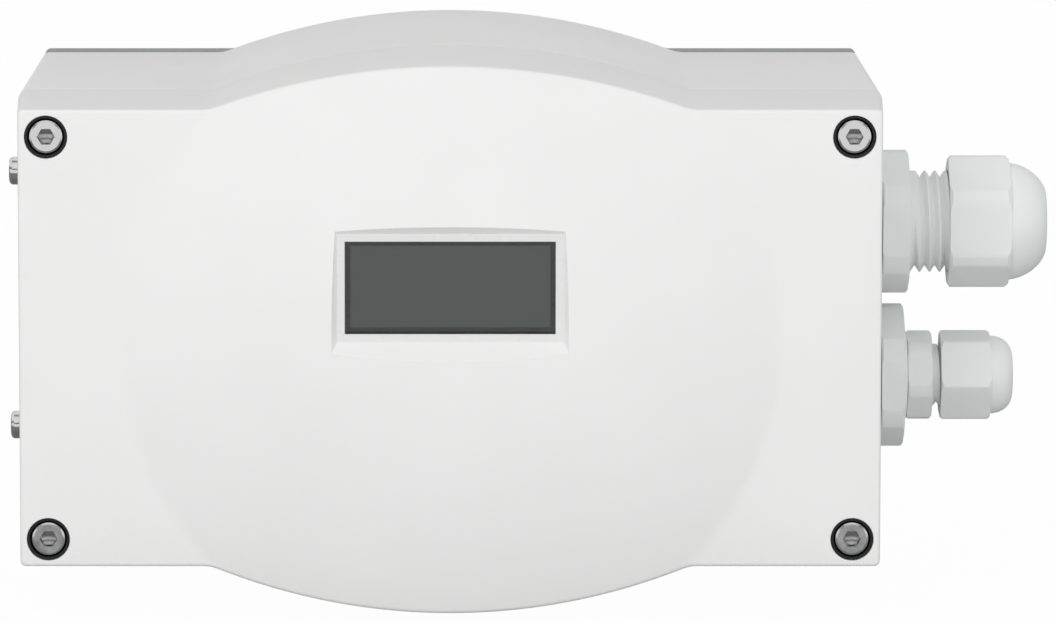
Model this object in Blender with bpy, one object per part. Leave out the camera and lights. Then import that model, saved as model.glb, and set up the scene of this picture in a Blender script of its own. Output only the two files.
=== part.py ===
"""Electropneumatic positioner for quarter-turn valves, built as an assembly.

X runs to the right (towards the cable glands), Y runs from the display to the actuator, Z is up.
The origin lies on the feedback shaft's axis, on the rear face that meets the mounting bracket.
Sizes below are in millimetres. The meshes are in metres.
"""
import math

import bmesh
import bpy
from mathutils import Matrix, Vector

MM = 0.001

# General clearances
SEAT = 0.3
SLIP = 0.2
RUNNING_FIT = 0.1

# Depths, measured forwards from the mounting face
DEPTH_TOTAL = 110.8
COVER_DEPTH = 26.3
PLATE_DEPTH = 8.4

# Outline of the box at the front edge
HALF_W = 82.83
HALF_H = 44.3
CORNER_R = 1.0
BULGE_R = 127.4
BULGE_RISE = 8.66
BULGE_FILLET = 8.0
COVER_DRAFT = 1.13
EDGE_FILLET = 1.0
WALL = 3.0
FLOOR = 3.0

# Dome of the cover
DOME_BASE_R = 63.6
DOME_RISE = 9.65
DOME_BLEND = 0.8

# Display window
WINDOW_W = 40.3
WINDOW_H = 17.85
WINDOW_Z = 10.85
FRAME_MARGIN = 1.5
FRAME_RISE = 7.45
RECESS_BOTTOM_ANGLE = 31.0
RECESS_REACH = 5.0
RECESS_SIDE_LEAN = 1.3
RECESS_TOP_LEAN = 1.6
COVER_RIB_Z = 18.0
COVER_RIB_T = 1.6
COVER_RIB_H = 5.0
LIP = 0.8
GLASS = 1.5
REBATE = 1.0
PAD_MARGIN = 3.0
PAD_DEPTH = 2.9

# Cover screws and their cup washers
SCREW_X = 77.4
SCREW_Z = 39.0
SCREW_SINK = 0.9
SCREW_HEAD_R = 3.35
SCREW_HEAD_H = 4.0
SCREW_SHANK_R = 1.95
SCREW_REACH = 8.5
SOCKET_AF = 3.0
SOCKET_DEPTH = 2.2
CUP_WALL = 0.5
CUP_FLOOR = 0.7
CUP_R = 4.05
BOSS_R = 5.0
TAPPED_LENGTH = 10.0

# Cover seal
GROOVE_W = 1.2
GROOVE_D = 1.4
GROOVE_EDGE = 1.0

# Rear plate
PLATE_CORNER_R = 1.4
PLATE_EDGE = 0.8
LUG_R = 2.2
LUG_RISE = 0.25
LUG_X = 79.5
TAP_X = 25.0
TAP_Z = 12.5
TAP_R = 2.5
TAP_DEPTH = 6.5
REAR_SCREW_R = 1.9
REAR_SCREW_HEAD_R = 3.8
REAR_SCREW_REACH = 12.0
REAR_SOCKET_R = 1.45
REAR_SOCKET_DEPTH = 1.6

# Feedback shaft, its bearing and its seal
SHAFT_R = 4.0
SHAFT_INNER = 46.0
COLLAR_R = 6.0
COLLAR_START = 1.0
COLLAR_LENGTH = 7.0
TONGUE_THICK = 4.0
TONGUE_LENGTH = 14.0
BUSH_R = 6.0
BUSH_LENGTH = 12.0
BUSH_FLANGE_R = 7.6
BUSH_FLANGE = 1.4
BEARING_BOSS_R = 10.0
BEARING_BOSS = 16.0
SEAL_R = 9.8
SEAL_DEPTH = 6.2

# Gear pair and position sensor
MODULE = 1.25
SHAFT_TEETH = 36
SENSOR_TEETH = 18
GEAR_WIDTH = 4.0
BACKLASH = 0.4
GEAR_GAP = 1.0
HUB_R = 8.0
HUB_LENGTH = 3.0
WEB_HOLES = 6
WEB_HOLE_R = 3.5
SPINDLE_R = 3.0
SENSOR_R = 9.0
SENSOR_LENGTH = 10.0
BRACKET_THICK = 2.0
BRACKET_HALF_Z = 13.0
BRACKET_POST_R = 3.4
BRACKET_POST_Z = 9.0
BRACKET_MARGIN = 5.0
STAKE_R = 1.4
STAKE_LENGTH = 1.2
CLIP_R = 6.4
CLIP_THICK = 0.8

# Boards
BOARD_THICK = 1.6
MAIN_BOARD_DEPTH = 66.0
MAIN_BOARD_MARGIN = 13.5
MAIN_BOARD_HALF_Z = 38.0
BOARD_POST_R = 3.4
STUD_R = 1.4
STUD_REACH = 8.0
MODULE_W = 46.0
MODULE_H = 26.0
MODULE_GAP = 0.3
MODULE_DEPTH = 8.5
DISPLAY_BOARD_W = 72.0
DISPLAY_BOARD_TOP = 31.0
DISPLAY_BOARD_BOTTOM = -22.0
PILLAR_R = 2.9
PILLAR_SIDE_INSET = 5.5
PILLAR_TAP = 6.0
PILLAR_INSET = 4.0

# Push buttons
BUTTON_COUNT = 4
BUTTON_PITCH = 14.0
BUTTON_Z = -12.5
BUTTON_STEM_R = 2.3
BUTTON_CAP_R = 3.6
BUTTON_CAP_H = 1.8
BUTTON_TRAVEL = 0.8
BUTTON_BASE = 8.0
BUTTON_BASE_H = 4.0

# Terminals
TERMINAL_COUNT = 10
TERMINAL_PITCH = 5.08
TERMINAL_GAP = 3.6
TERMINAL_W = 15.0
TERMINAL_H = 13.7
TERMINAL_SCREW_R = 1.9
WIRE_HOLE = 3.2
WIRE_HOLE_DEPTH = 5.0
WIRE_HOLE_Y = 6.5

# Setting switches
SWITCH_X = -22.0
SWITCH_Z = -30.0
SWITCH_W = 12.0
SWITCH_H = 8.0
SWITCH_D = 4.7
SWITCH_PITCH = 5.0
SLIDER_W = 1.4
SLIDER_LENGTH = 1.8
SLIDER_TRAVEL = 2.0
SLIDER_PROUD = 0.8
SLOT_DEPTH = 2.5

# Pneumatic side
PORT_PITCH = 17.0
PORT_R = 4.4
PORT_DEPTH = 12.0
PORT_DEPTH_Y = 53.5
SPIGOT_R = 6.1
BLOCK_W = 29.0
BLOCK_MARGIN = 4.0
BLOCK_HALF_Y = 16.0
PORT_PLATE = 1.0
PORT_PLATE_W = 28.0
PORT_PLATE_MARGIN = 5.5
PORT_SCREW_SPACING = 8.5
PORT_SCREW_R = 1.5
PORT_SCREW_HEAD_R = 2.75
PORT_SCREW_HEAD_H = 2.6
PORT_SCREW_REACH = 12.0
PORT_TAP_LENGTH = 8.0
VALVE_R = 6.5
VALVE_LENGTH = 15.5
VALVE_Z = 14.0

# Cable glands
GLAND_Z = 15.4
GLAND_TURN = 20.5
THREAD20_R = 9.8
FLANGE_AF = 26.5
FLANGE_CUT_R = 14.2
FLANGE_BEVEL = 0.9
FLANGE_BEVEL_LENGTH = 1.4
FLANGE_EDGE = 0.4
WASHER_T = 0.7
WASHER_R = 12.6
LOCK_AF = 24.0
LOCK_CUT_R = 13.2
LOCK_T = 4.8
SHANK_IN = 11.0
NUT_LIP = 0.4
NUT_BEVEL_LENGTH = 1.5
M20_FLANGE = 6.2
M20_NECK = 12.85
M20_NUT_AF = 23.7
M20_NUT_CUT_R = 13.1
M20_NUT_START = 7.95
M20_NUT_LENGTH = 12.05
M20_DOME_R = 11.6
M20_DOME_LENGTH = 7.4
M20_DOME_POWER = 1.7
M20_GRIP = 4.8
M20_BORE_R = 8.15
M20_CABLE_R = 6.4
M20_INSERT_BORE_R = 5.0
M20_INSERT_LENGTH = 11.0
M20_TRAVEL = 4.5

M12_FLANGE = 5.45
M12_THREAD_R = 6.0
M12_RING_R = 8.75
M12_RING_T = 0.55
M12_HEX_AF = 16.4
M12_HEX_CUT_R = 8.8
M12_HEX = 4.9
M12_HEX_TURN = -10.7
M12_NECK_R = 6.1
M12_NECK = 5.8
M12_NUT_AF = 16.0
M12_NUT_CUT_R = 9.2
M12_NUT_START = 1.75
M12_NUT_LENGTH = 9.9
M12_NUT_TURN = -12.5
M12_DOME_R = 7.75
M12_DOME_LENGTH = 4.5
M12_DOME_POWER = 2.15
M12_GRIP = 4.2
M12_BORE_R = 4.6
M12_CABLE_R = 3.6
M12_INSERT_BORE_R = 3.2
M12_INSERT_LENGTH = 8.6
M12_TRAVEL = 3.0

# Fineness of the curved surfaces
ROUND_COUNT = 12
WIDE_COUNT = 24
RUNNING_COUNT = 32
FINE_COUNT = 8
ARC_STEPS = 8
CORNER_STEPS = 2

# Planes that follow from the depths
Y_FACE = -DEPTH_TOTAL
Y_PART = Y_FACE + COVER_DEPTH
Y_REAR = -PLATE_DEPTH
Y_FLOOR = Y_REAR - FLOOR
Y_FRAME = Y_FACE - FRAME_RISE
Y_PAD = Y_FRAME + LIP + PAD_DEPTH
Y_MODULE = Y_PAD + MODULE_GAP
Y_DISPLAY = Y_MODULE + MODULE_DEPTH + SEAT
Y_BOARD = -MAIN_BOARD_DEPTH
Y_BUSH_FRONT = Y_FLOOR - BEARING_BOSS - SEAT - BUSH_FLANGE
Y_GEAR = Y_BUSH_FRONT - GEAR_GAP - GEAR_WIDTH
Y_CLIP = Y_GEAR - HUB_LENGTH - SLIP - CLIP_THICK
Y_BRACKET = -SHAFT_INNER + SLIP + BRACKET_THICK
PILLAR_X = DISPLAY_BOARD_W / 2 - PILLAR_SIDE_INSET
MAIN_BOARD_LEFT = -(PILLAR_X + MAIN_BOARD_MARGIN)
MAIN_BOARD_RIGHT = PILLAR_X + PILLAR_R + TERMINAL_GAP + TERMINAL_W
PORT_SCREW_Z = PORT_PITCH + PORT_SCREW_SPACING
PORT_PLATE_HALF_Z = PORT_SCREW_Z + PORT_PLATE_MARGIN
BLOCK_HALF_Z = PORT_SCREW_Z + BLOCK_MARGIN
SENSOR_X = MODULE * (SHAFT_TEETH + SENSOR_TEETH) / 2
DOME_R = (DOME_BASE_R ** 2 + DOME_RISE ** 2) / (2 * DOME_RISE)
BULGE_Z = HALF_H + BULGE_RISE - BULGE_R
GLAND_AXIS_Y = -PORT_DEPTH_Y


def draft_at(y):
    """How far the housing has grown outwards at depth y."""
    return COVER_DRAFT * (Y_REAR - y) / (Y_REAR - Y_PART)


WALL_X = HALF_W + draft_at(GLAND_AXIS_Y)
X_WASHER = WALL_X + SEAT
X_FLANGE = X_WASHER + WASHER_T + SLIP / 2


def material(name, grey, roughness, metallic=0.0, tint=(1.0, 1.0, 1.0), alpha=1.0):
    """Principled material from a grey value as seen on screen, with a slight tint."""
    linear = (grey / 255.0) ** 2.2
    made = bpy.data.materials.new(name)
    made.use_nodes = True
    shader = made.node_tree.nodes["Principled BSDF"]
    shader.inputs["Base Color"].default_value = (*[linear * part for part in tint], 1.0)
    shader.inputs["Roughness"].default_value = roughness
    shader.inputs["Metallic"].default_value = metallic
    shader.inputs["Alpha"].default_value = alpha
    return made


def spot(axis, centre, radius, angle, along):
    """Point at a radius and an angle round an axis through the centre."""
    across = radius * math.cos(angle)
    up = radius * math.sin(angle)
    x, y, z = centre
    if axis == "X":
        return (x + along, y - across, z + up)
    if axis == "Y":
        return (x + across, y + along, z + up)
    return (x + across, y + up, z + along)


def circle(axis, centre, radius, along, count=ROUND_COUNT):
    """Ring of points, all at one radius."""
    return [spot(axis, centre, radius, math.tau * i / count, along) for i in range(count)]


def hexagon(axis, centre, flats, cut_r, along, turn=0.0):
    """Ring of a hexagon whose corners are turned down to cut_r."""
    half = math.acos(min(1.0, flats / 2 / cut_r))
    corner = math.pi / 6 - half
    ring = []
    for i in range(6):
        middle = math.radians(turn) + math.pi / 3 * i
        for offset in (-corner, corner):
            ring.append(spot(axis, centre, cut_r, middle + offset, along))
        ring.append(spot(axis, centre, flats / 2, middle + math.pi / 6, along))
    return ring


def round_like_hexagon(axis, centre, radius, cut, along, turn=0.0):
    """Ring on a circle, at the same angles as the hexagon with the given flats and cut."""
    flats, cut_r = cut
    corner = math.pi / 6 - math.acos(min(1.0, flats / 2 / cut_r))
    ring = []
    for i in range(6):
        middle = math.radians(turn) + math.pi / 3 * i
        for offset in (-corner, corner, math.pi / 6):
            ring.append(spot(axis, centre, radius, middle + offset, along))
    return ring


def add_loft(bm, rings, loop=False):
    """Skin a row of rings. Ends are capped, or the row is closed on itself."""
    rows = []
    for ring in rings:
        rows.append([bm.verts.new(Vector(point) * MM) for point in ring])
    pairs = list(zip(rows, rows[1:]))
    if loop:
        pairs.append((rows[-1], rows[0]))
    faces = []
    for first, second in pairs:
        count = max(len(first), len(second))
        for i in range(count):
            j = (i + 1) % count
            corners = [first[i % len(first)], first[j % len(first)],
                       second[j % len(second)], second[i % len(second)]]
            kept = [v for k, v in enumerate(corners) if v not in corners[:k]]
            faces.append(bm.faces.new(kept))
    if not loop:
        for row in (rows[0], rows[-1]):
            if len(row) > 2:
                faces.append(bm.faces.new(row))
    bmesh.ops.recalc_face_normals(bm, faces=faces)
    return faces


def add_turned(bm, axis, centre, profile, count=ROUND_COUNT, loop=True):
    """Turned solid from (radius, distance along the axis) points. A zero radius is a pole."""
    rings = []
    for radius, along in profile:
        if radius == 0:
            rings.append([spot(axis, centre, 0, 0, along)])
        else:
            rings.append(circle(axis, centre, radius, along, count))
    return add_loft(bm, rings, loop)


def add_rod(bm, axis, centre, radius, start, end, count=ROUND_COUNT):
    """Plain round bar, pin or drill."""
    return add_loft(bm, [circle(axis, centre, radius, along, count) for along in (start, end)])


def add_block(bm, low, high, bevel=0.0):
    """Rectangular block between two corners, with its edges broken."""
    low_x, low_y, low_z = low
    high_x, high_y, high_z = high
    corners = [(low_x, low_z), (high_x, low_z), (high_x, high_z), (low_x, high_z)]
    faces = add_loft(bm, [[(x, y, z) for x, z in corners] for y in (low_y, high_y)])
    if bevel:
        edges = list({edge for face in faces for edge in face.edges})
        bmesh.ops.bevel(bm, geom=edges, offset=bevel * MM, segments=1, affect="EDGES", profile=0.5)


def finish(name, bm, made_of, pivot=(0.0, 0.0, 0.0)):
    """Turn a bmesh into a named object whose origin is the pivot."""
    centre = Vector(pivot) * MM
    bmesh.ops.transform(bm, matrix=Matrix.Translation(-centre), verts=bm.verts[:])
    mesh = bpy.data.meshes.new(name)
    bm.to_mesh(mesh)
    bm.free()
    mesh.materials.append(made_of)
    mesh.shade_smooth()
    mesh.set_sharp_from_angle(angle=math.radians(30))
    thing = bpy.data.objects.new(name, mesh)
    thing.location = centre
    bpy.context.scene.collection.objects.link(thing)
    return thing


def combine(target, bm, operation):
    """Add or cut the shapes in a bmesh. They don't overlap each other."""
    name = f"{operation.lower()}_{target.name}_{len(target.modifiers)}"
    mesh = bpy.data.meshes.new(name)
    bm.to_mesh(mesh)
    bm.free()
    tool = bpy.data.objects.new(name, mesh)
    tool.hide_render = True
    tool.display_type = "WIRE"
    bpy.context.scene.collection.objects.link(tool)
    step = target.modifiers.new(name, "BOOLEAN")
    step.operation = operation
    step.solver = "EXACT"
    step.object = tool


def cut(target, bm):
    combine(target, bm, "DIFFERENCE")


def fuse(target, bm):
    combine(target, bm, "UNION")


def spaced(start, end, count):
    """Points strictly between two values."""
    return [start + (end - start) * i / count for i in range(1, count)]


def half_outline(grow, side_steps, flat_steps):
    """Upper half of the box's outline, from the right side round to the left side."""
    w = HALF_W + grow
    h = HALF_H + grow
    corner = max(CORNER_R + grow, 0.4)
    arc_r = BULGE_R + grow
    fillet = BULGE_FILLET - grow
    lift = h + fillet - BULGE_Z
    fillet_x = math.sqrt((arc_r + fillet) ** 2 - lift ** 2)
    meet = math.atan2(lift, fillet_x)
    right = []
    for z in spaced(-(h - corner), h - corner, side_steps):
        if z > 0 or abs(z) < 1e-9:
            right.append((w, z))
    for i in range(CORNER_STEPS + 1):
        angle = math.pi / 2 * i / CORNER_STEPS
        right.append((w - corner + corner * math.cos(angle), h - corner + corner * math.sin(angle)))
    for x in spaced(w - corner, fillet_x, flat_steps):
        right.append((x, h))
    for i in range(CORNER_STEPS + 1):
        angle = -math.pi / 2 - (math.pi / 2 - meet) * i / CORNER_STEPS
        right.append((fillet_x + fillet * math.cos(angle), h + fillet + fillet * math.sin(angle)))
    arc = []
    for i in range(1, ARC_STEPS):
        angle = meet + (math.pi - 2 * meet) * i / ARC_STEPS
        arc.append((arc_r * math.cos(angle), BULGE_Z + arc_r * math.sin(angle)))
    left = [(-x, z) for x, z in reversed(right) if z > 1e-9]
    return right + arc + left


def outline(grow, side_steps=1, flat_steps=1):
    """Closed outline of the box, grown outwards by the given amount."""
    upper = half_outline(grow, side_steps, flat_steps)
    lower = [(-x, -z) for x, z in upper]
    return upper + lower


def flat_ring(grow, y, side_steps=1, flat_steps=1):
    """Outline of the box in the plane at depth y."""
    return [(x, y, z) for x, z in outline(grow, side_steps, flat_steps)]


def dome_height(x, z):
    """Height of the cover's front over its flat corners, softly blended at the dome's foot."""
    r = math.hypot(x, z)
    cap = math.sqrt(DOME_R ** 2 - r ** 2) - (DOME_R - DOME_RISE)
    soft = max(DOME_BLEND - abs(cap), 0.0)
    return max(cap, 0.0) + soft ** 2 / (4 * DOME_BLEND)


def face_rings(points, inwards, ratios):
    """Rings from a front outline to the centre, lying on the dome."""
    foot = DOME_BASE_R + 3 * DOME_BLEND
    rings = []
    for ratio in ratios:
        ring = []
        for x, z in points:
            reach = math.hypot(x, z)
            scale = min(reach, foot) / reach * ratio
            ring.append((x * scale, Y_FACE + inwards - dome_height(x * scale, z * scale), z * scale))
        rings.append(ring)
    rings.append([(0.0, Y_FACE + inwards - dome_height(0.0, 0.0), 0.0)])
    return rings


def cover_shell():
    """Moulded cover: drafted walls, filleted front edge and a shallow dome, all one skin."""
    sides = {"side_steps": 6, "flat_steps": 2}
    outer = [flat_ring(COVER_DRAFT, Y_PART - SEAT, **sides)]
    for degrees in (0, 30, 60, 90):
        angle = math.radians(degrees)
        ring = []
        for x, z in outline(-EDGE_FILLET * (1 - math.cos(angle)), **sides):
            ring.append((x, Y_FACE - dome_height(x, z) + EDGE_FILLET * (1 - math.sin(angle)), z))
        outer.append(ring)
    front = outline(-EDGE_FILLET, **sides)
    outer += face_rings(front, 0.0, (0.995, 0.96, 0.92, 0.78, 0.52, 0.26))
    inner_front = outline(-WALL, **sides)
    inner = [flat_ring(COVER_DRAFT - WALL, Y_PART - SEAT, **sides)]
    inner.append([(x, Y_FACE + WALL - dome_height(x, z), z) for x, z in inner_front])
    inner += face_rings(inner_front, WALL, (0.99, 0.9, 0.45))
    bm = bmesh.new()
    add_loft(bm, list(reversed(outer)) + inner)
    bmesh.ops.remove_doubles(bm, verts=bm.verts[:], dist=1e-7)
    bmesh.ops.recalc_face_normals(bm, faces=bm.faces[:])
    return bm


def screw_places():
    """Centres of the four corner screws."""
    return [(x, z) for z in (SCREW_Z, -SCREW_Z) for x in (-SCREW_X, SCREW_X)]


def window_box(margin, front, back):
    """Corners of a block round the display window."""
    low = (-WINDOW_W / 2 - margin, front, WINDOW_Z - WINDOW_H / 2 - margin)
    high = (WINDOW_W / 2 + margin, back, WINDOW_Z + WINDOW_H / 2 + margin)
    return low, high


def recess_rings():
    """Hollow round the display: three steep walls and a gentler bottom wall."""
    rings = []
    low, high = window_box(FRAME_MARGIN, 0.0, 0.0)
    for rise in (0.0, RECESS_REACH):
        left, right = low[0] - rise * RECESS_SIDE_LEAN, high[0] + rise * RECESS_SIDE_LEAN
        bottom = low[2] - rise / math.tan(math.radians(RECESS_BOTTOM_ANGLE))
        top = high[2] + rise * RECESS_TOP_LEAN
        y = Y_FRAME - rise
        rings.append([(left, y, bottom), (right, y, bottom), (right, y, top), (left, y, top)])
    return rings


def make_cover(plastic):
    cover = finish("cover", cover_shell(), plastic)
    pad = bmesh.new()
    add_block(pad, *window_box(PAD_MARGIN, Y_FRAME + LIP, Y_PAD))
    fuse(cover, pad)
    bosses = bmesh.new()
    for x, z in screw_places():
        add_rod(bosses, "Y", (x, 0, z), BOSS_R, Y_FACE + WALL / 2, Y_PART - SEAT)
    fuse(cover, bosses)
    ribs = bmesh.new()
    for side in (-1, 1):
        for z in (-COVER_RIB_Z, COVER_RIB_Z):
            reach = sorted((side * (HALF_W - WALL / 2), side * (DOME_BASE_R + 3)))
            low = (reach[0], Y_FACE + WALL / 2, z - COVER_RIB_T / 2)
            add_block(ribs, low, (reach[1], Y_FACE + WALL + COVER_RIB_H, z + COVER_RIB_T / 2))
    fuse(cover, ribs)
    recess = bmesh.new()
    add_loft(recess, recess_rings())
    cut(cover, recess)
    opening = bmesh.new()
    add_block(opening, *window_box(0.0, Y_FRAME - 2, Y_PAD + 1))
    cut(cover, opening)
    rebate = bmesh.new()
    add_block(rebate, *window_box(REBATE, Y_FRAME + LIP, Y_PAD + 1))
    cut(cover, rebate)
    sinks = bmesh.new()
    floor = Y_FACE + SCREW_SINK + SCREW_HEAD_H + CUP_FLOOR + 2 * SLIP
    for x, z in screw_places():
        profile = [(0, Y_FACE - 2), (CUP_R + SLIP / 2, Y_FACE - 2), (CUP_R + SLIP / 2, floor)]
        profile += [(SCREW_SHANK_R + SEAT, floor), (SCREW_SHANK_R + SEAT, Y_PART + 1), (0, Y_PART + 1)]
        add_turned(sinks, "Y", (x, 0, z), profile, loop=False)
    cut(cover, sinks)
    return cover


def make_window(glass):
    """Pane behind the opening, seated against the lip of the rebate."""
    front = Y_FRAME + LIP + SEAT
    bm = bmesh.new()
    add_block(bm, *window_box(REBATE - SLIP, front, front + GLASS), bevel=0.15)
    finish("window_glass", bm, glass)


def make_cover_screw(number, x, z, steel, nylon):
    """Captive socket head screw and the cup washer that rides under its head."""
    head_front = Y_FACE + SCREW_SINK
    under_head = head_front + SCREW_HEAD_H
    bm = bmesh.new()
    profile = [(0, head_front), (SCREW_HEAD_R - 0.35, head_front), (SCREW_HEAD_R, head_front + 0.35)]
    profile += [(SCREW_HEAD_R, under_head), (SCREW_SHANK_R, under_head)]
    profile += [(SCREW_SHANK_R, Y_PART + SCREW_REACH - 0.8), (SCREW_SHANK_R - 0.7, Y_PART + SCREW_REACH)]
    profile += [(0, Y_PART + SCREW_REACH)]
    add_turned(bm, "Y", (x, 0, z), profile, loop=False)
    screw = finish(f"cover_screw_{number}", bm, steel, (x, head_front, z))
    socket = bmesh.new()
    corner_r = SOCKET_AF / math.sqrt(3)
    rings = [circle("Y", (x, 0, z), corner_r, y, 6) for y in (head_front - 1, head_front + SOCKET_DEPTH)]
    add_loft(socket, rings + [[(x, head_front + SOCKET_DEPTH + 0.8, z)]])
    cut(screw, socket)
    cup = bmesh.new()
    front = head_front - SEAT
    floor = under_head + SLIP
    ring = [(CUP_R, front), (CUP_R, floor + CUP_FLOOR), (SCREW_SHANK_R + SLIP, floor + CUP_FLOOR)]
    ring += [(SCREW_SHANK_R + SLIP, floor), (CUP_R - CUP_WALL, floor), (CUP_R - CUP_WALL, front)]
    add_turned(cup, "Y", (x, 0, z), ring)
    finish(f"screw_washer_{number}", cup, nylon, (x, front, z))


def groove_rings(inset, front, back, width):
    """Closed band that follows the outline, for a seal or its groove."""
    rings = []
    for grow, y in ((inset, front), (inset, back), (inset - width, back), (inset - width, front)):
        rings.append(flat_ring(grow, y))
    return rings


def make_housing(plastic):
    """Moulded housing: drafted shell, screw bosses, posts, bearing boss and side holes."""
    rings = [flat_ring(0.0, Y_REAR), flat_ring(COVER_DRAFT, Y_PART)]
    rings += [flat_ring(COVER_DRAFT - WALL, Y_PART), flat_ring(-WALL, Y_FLOOR)]
    bm = bmesh.new()
    add_loft(bm, rings)
    housing = finish("housing", bm, plastic)
    bosses = bmesh.new()
    for x, z in screw_places():
        add_rod(bosses, "Y", (x, 0, z), BOSS_R, Y_PART + 0.2, Y_FLOOR + 1)
    for x, z in pillar_places():
        add_rod(bosses, "Y", (x, 0, z), BOARD_POST_R, Y_BOARD + BOARD_THICK + SEAT, Y_FLOOR + 1)
    for x, z in bracket_posts():
        top = Y_BRACKET - BRACKET_THICK - STAKE_LENGTH
        profile = [(0, top), (STAKE_R, top), (STAKE_R, Y_BRACKET + SEAT), (BRACKET_POST_R, Y_BRACKET + SEAT)]
        profile += [(BRACKET_POST_R, Y_FLOOR + 1), (0, Y_FLOOR + 1)]
        add_turned(bosses, "Y", (x, 0, z), profile, loop=False)
    add_rod(bosses, "Y", (0, 0, 0), BEARING_BOSS_R, Y_FLOOR - BEARING_BOSS, Y_FLOOR + 1)
    fuse(housing, bosses)
    holes = bmesh.new()
    for x, z in screw_places():
        add_rod(holes, "Y", (x, 0, z), SCREW_SHANK_R + SEAT, Y_PART - 1, Y_PART + TAPPED_LENGTH)
        add_rod(holes, "Y", (x, 0, z), REAR_SCREW_R + SLIP, Y_REAR + 1, Y_REAR - REAR_SCREW_REACH - 1)
    for x, z in pillar_places():
        deep = Y_BOARD + BOARD_THICK + STUD_REACH + 1
        add_rod(holes, "Y", (x, 0, z), STUD_R + SLIP, Y_BOARD, deep, FINE_COUNT)
    bearing_end = Y_FLOOR - BEARING_BOSS
    add_rod(holes, "Y", (0, 0, 0), BUSH_R + SLIP, bearing_end - 1, Y_REAR + 1, RUNNING_COUNT)
    inside = WALL_X - 2 * WALL
    for z in (GLAND_Z, -GLAND_Z):
        add_rod(holes, "X", (0, GLAND_AXIS_Y, z), THREAD20_R + SEAT, inside, WALL_X + 2, WIDE_COUNT)
    for z in port_places():
        add_rod(holes, "X", (0, GLAND_AXIS_Y, z), SPIGOT_R + SEAT, -WALL_X - 2, -inside)
    for z in (PORT_SCREW_Z, -PORT_SCREW_Z):
        add_rod(holes, "X", (0, GLAND_AXIS_Y, z), PORT_SCREW_R + SEAT, -WALL_X - 2, -inside, FINE_COUNT)
    cut(housing, holes)
    groove = bmesh.new()
    inset = COVER_DRAFT - GROOVE_EDGE
    add_loft(groove, groove_rings(inset, Y_PART - 1, Y_PART + GROOVE_D, GROOVE_W), loop=True)
    cut(housing, groove)
    return housing


def make_cover_gasket(rubber):
    bm = bmesh.new()
    inset = COVER_DRAFT - GROOVE_EDGE - SLIP
    rings = groove_rings(inset, Y_PART - SLIP, Y_PART + GROOVE_D - SLIP, GROOVE_W - 2 * SLIP)
    add_loft(bm, rings, loop=True)
    finish("cover_gasket", bm, rubber)


def plate_outline(y, inset):
    """Rounded rectangle of the rear plate."""
    w = HALF_W - inset
    h = HALF_H - inset
    r = PLATE_CORNER_R
    ring = []
    for quarter, (sx, sz) in enumerate(((1, 1), (-1, 1), (-1, -1), (1, -1))):
        for i in range(5):
            angle = math.pi / 2 * (quarter + i / 4)
            ring.append((sx * (w - r) + r * math.cos(angle), y, sz * (h - r) + r * math.sin(angle)))
    return ring


def make_rear_plate(metal):
    """Rear plate: seal seat, tapped holes for the bracket, countersunk corner screws."""
    front = Y_REAR + SEAT
    bm = bmesh.new()
    rings = [plate_outline(front, PLATE_EDGE / 2), plate_outline(front + PLATE_EDGE / 2, 0.0)]
    rings += [plate_outline(-PLATE_EDGE, 0.0), plate_outline(0.0, PLATE_EDGE)]
    add_loft(bm, rings)
    plate = finish("rear_plate", bm, metal)
    lugs = bmesh.new()
    for x in (-LUG_X, LUG_X):
        add_rod(lugs, "Y", (x, 0, HALF_H + LUG_RISE - LUG_R), LUG_R, front + 1.5, -PLATE_EDGE - 1)
    fuse(plate, lugs)
    holes = bmesh.new()
    ledge = front + SEAL_DEPTH + SLIP
    profile = [(0, front - 1), (SEAL_R + SLIP, front - 1), (SEAL_R + SLIP, ledge)]
    profile += [(COLLAR_R + 0.5, ledge), (COLLAR_R + 0.5, 1), (0, 1)]
    add_turned(holes, "Y", (0, 0, 0), profile, loop=False)
    for x, z in screw_places():
        sink = REAR_SCREW_HEAD_R - REAR_SCREW_R
        profile = [(0, front - 1), (REAR_SCREW_R + SLIP, front - 1), (REAR_SCREW_R + SLIP, -sink - SEAT)]
        profile += [(REAR_SCREW_HEAD_R + SLIP, -SEAT), (REAR_SCREW_HEAD_R + SLIP, 1), (0, 1)]
        add_turned(holes, "Y", (x, 0, z), profile, loop=False)
    for x in (-TAP_X, TAP_X):
        for z in (-TAP_Z, TAP_Z):
            profile = [(0, 1), (TAP_R, 1), (TAP_R, -TAP_DEPTH), (0, -TAP_DEPTH - 1)]
            add_turned(holes, "Y", (x, 0, z), profile, loop=False)
    cut(plate, holes)
    return plate


def make_rear_screws(steel):
    sink = REAR_SCREW_HEAD_R - REAR_SCREW_R
    for number, (x, z) in enumerate(screw_places(), 1):
        bm = bmesh.new()
        profile = [(0, -SEAT), (REAR_SCREW_HEAD_R, -SEAT), (REAR_SCREW_R, -SEAT - sink - SLIP)]
        profile += [(REAR_SCREW_R, Y_REAR - REAR_SCREW_REACH), (0, Y_REAR - REAR_SCREW_REACH - 0.6)]
        add_turned(bm, "Y", (x, 0, z), profile, loop=False)
        screw = finish(f"rear_plate_screw_{number}", bm, steel)
        socket = bmesh.new()
        depths = (1.0, -SEAT - REAR_SOCKET_DEPTH)
        add_loft(socket, [circle("Y", (x, 0, z), REAR_SOCKET_R, y, 6) for y in depths])
        cut(screw, socket)


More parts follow.
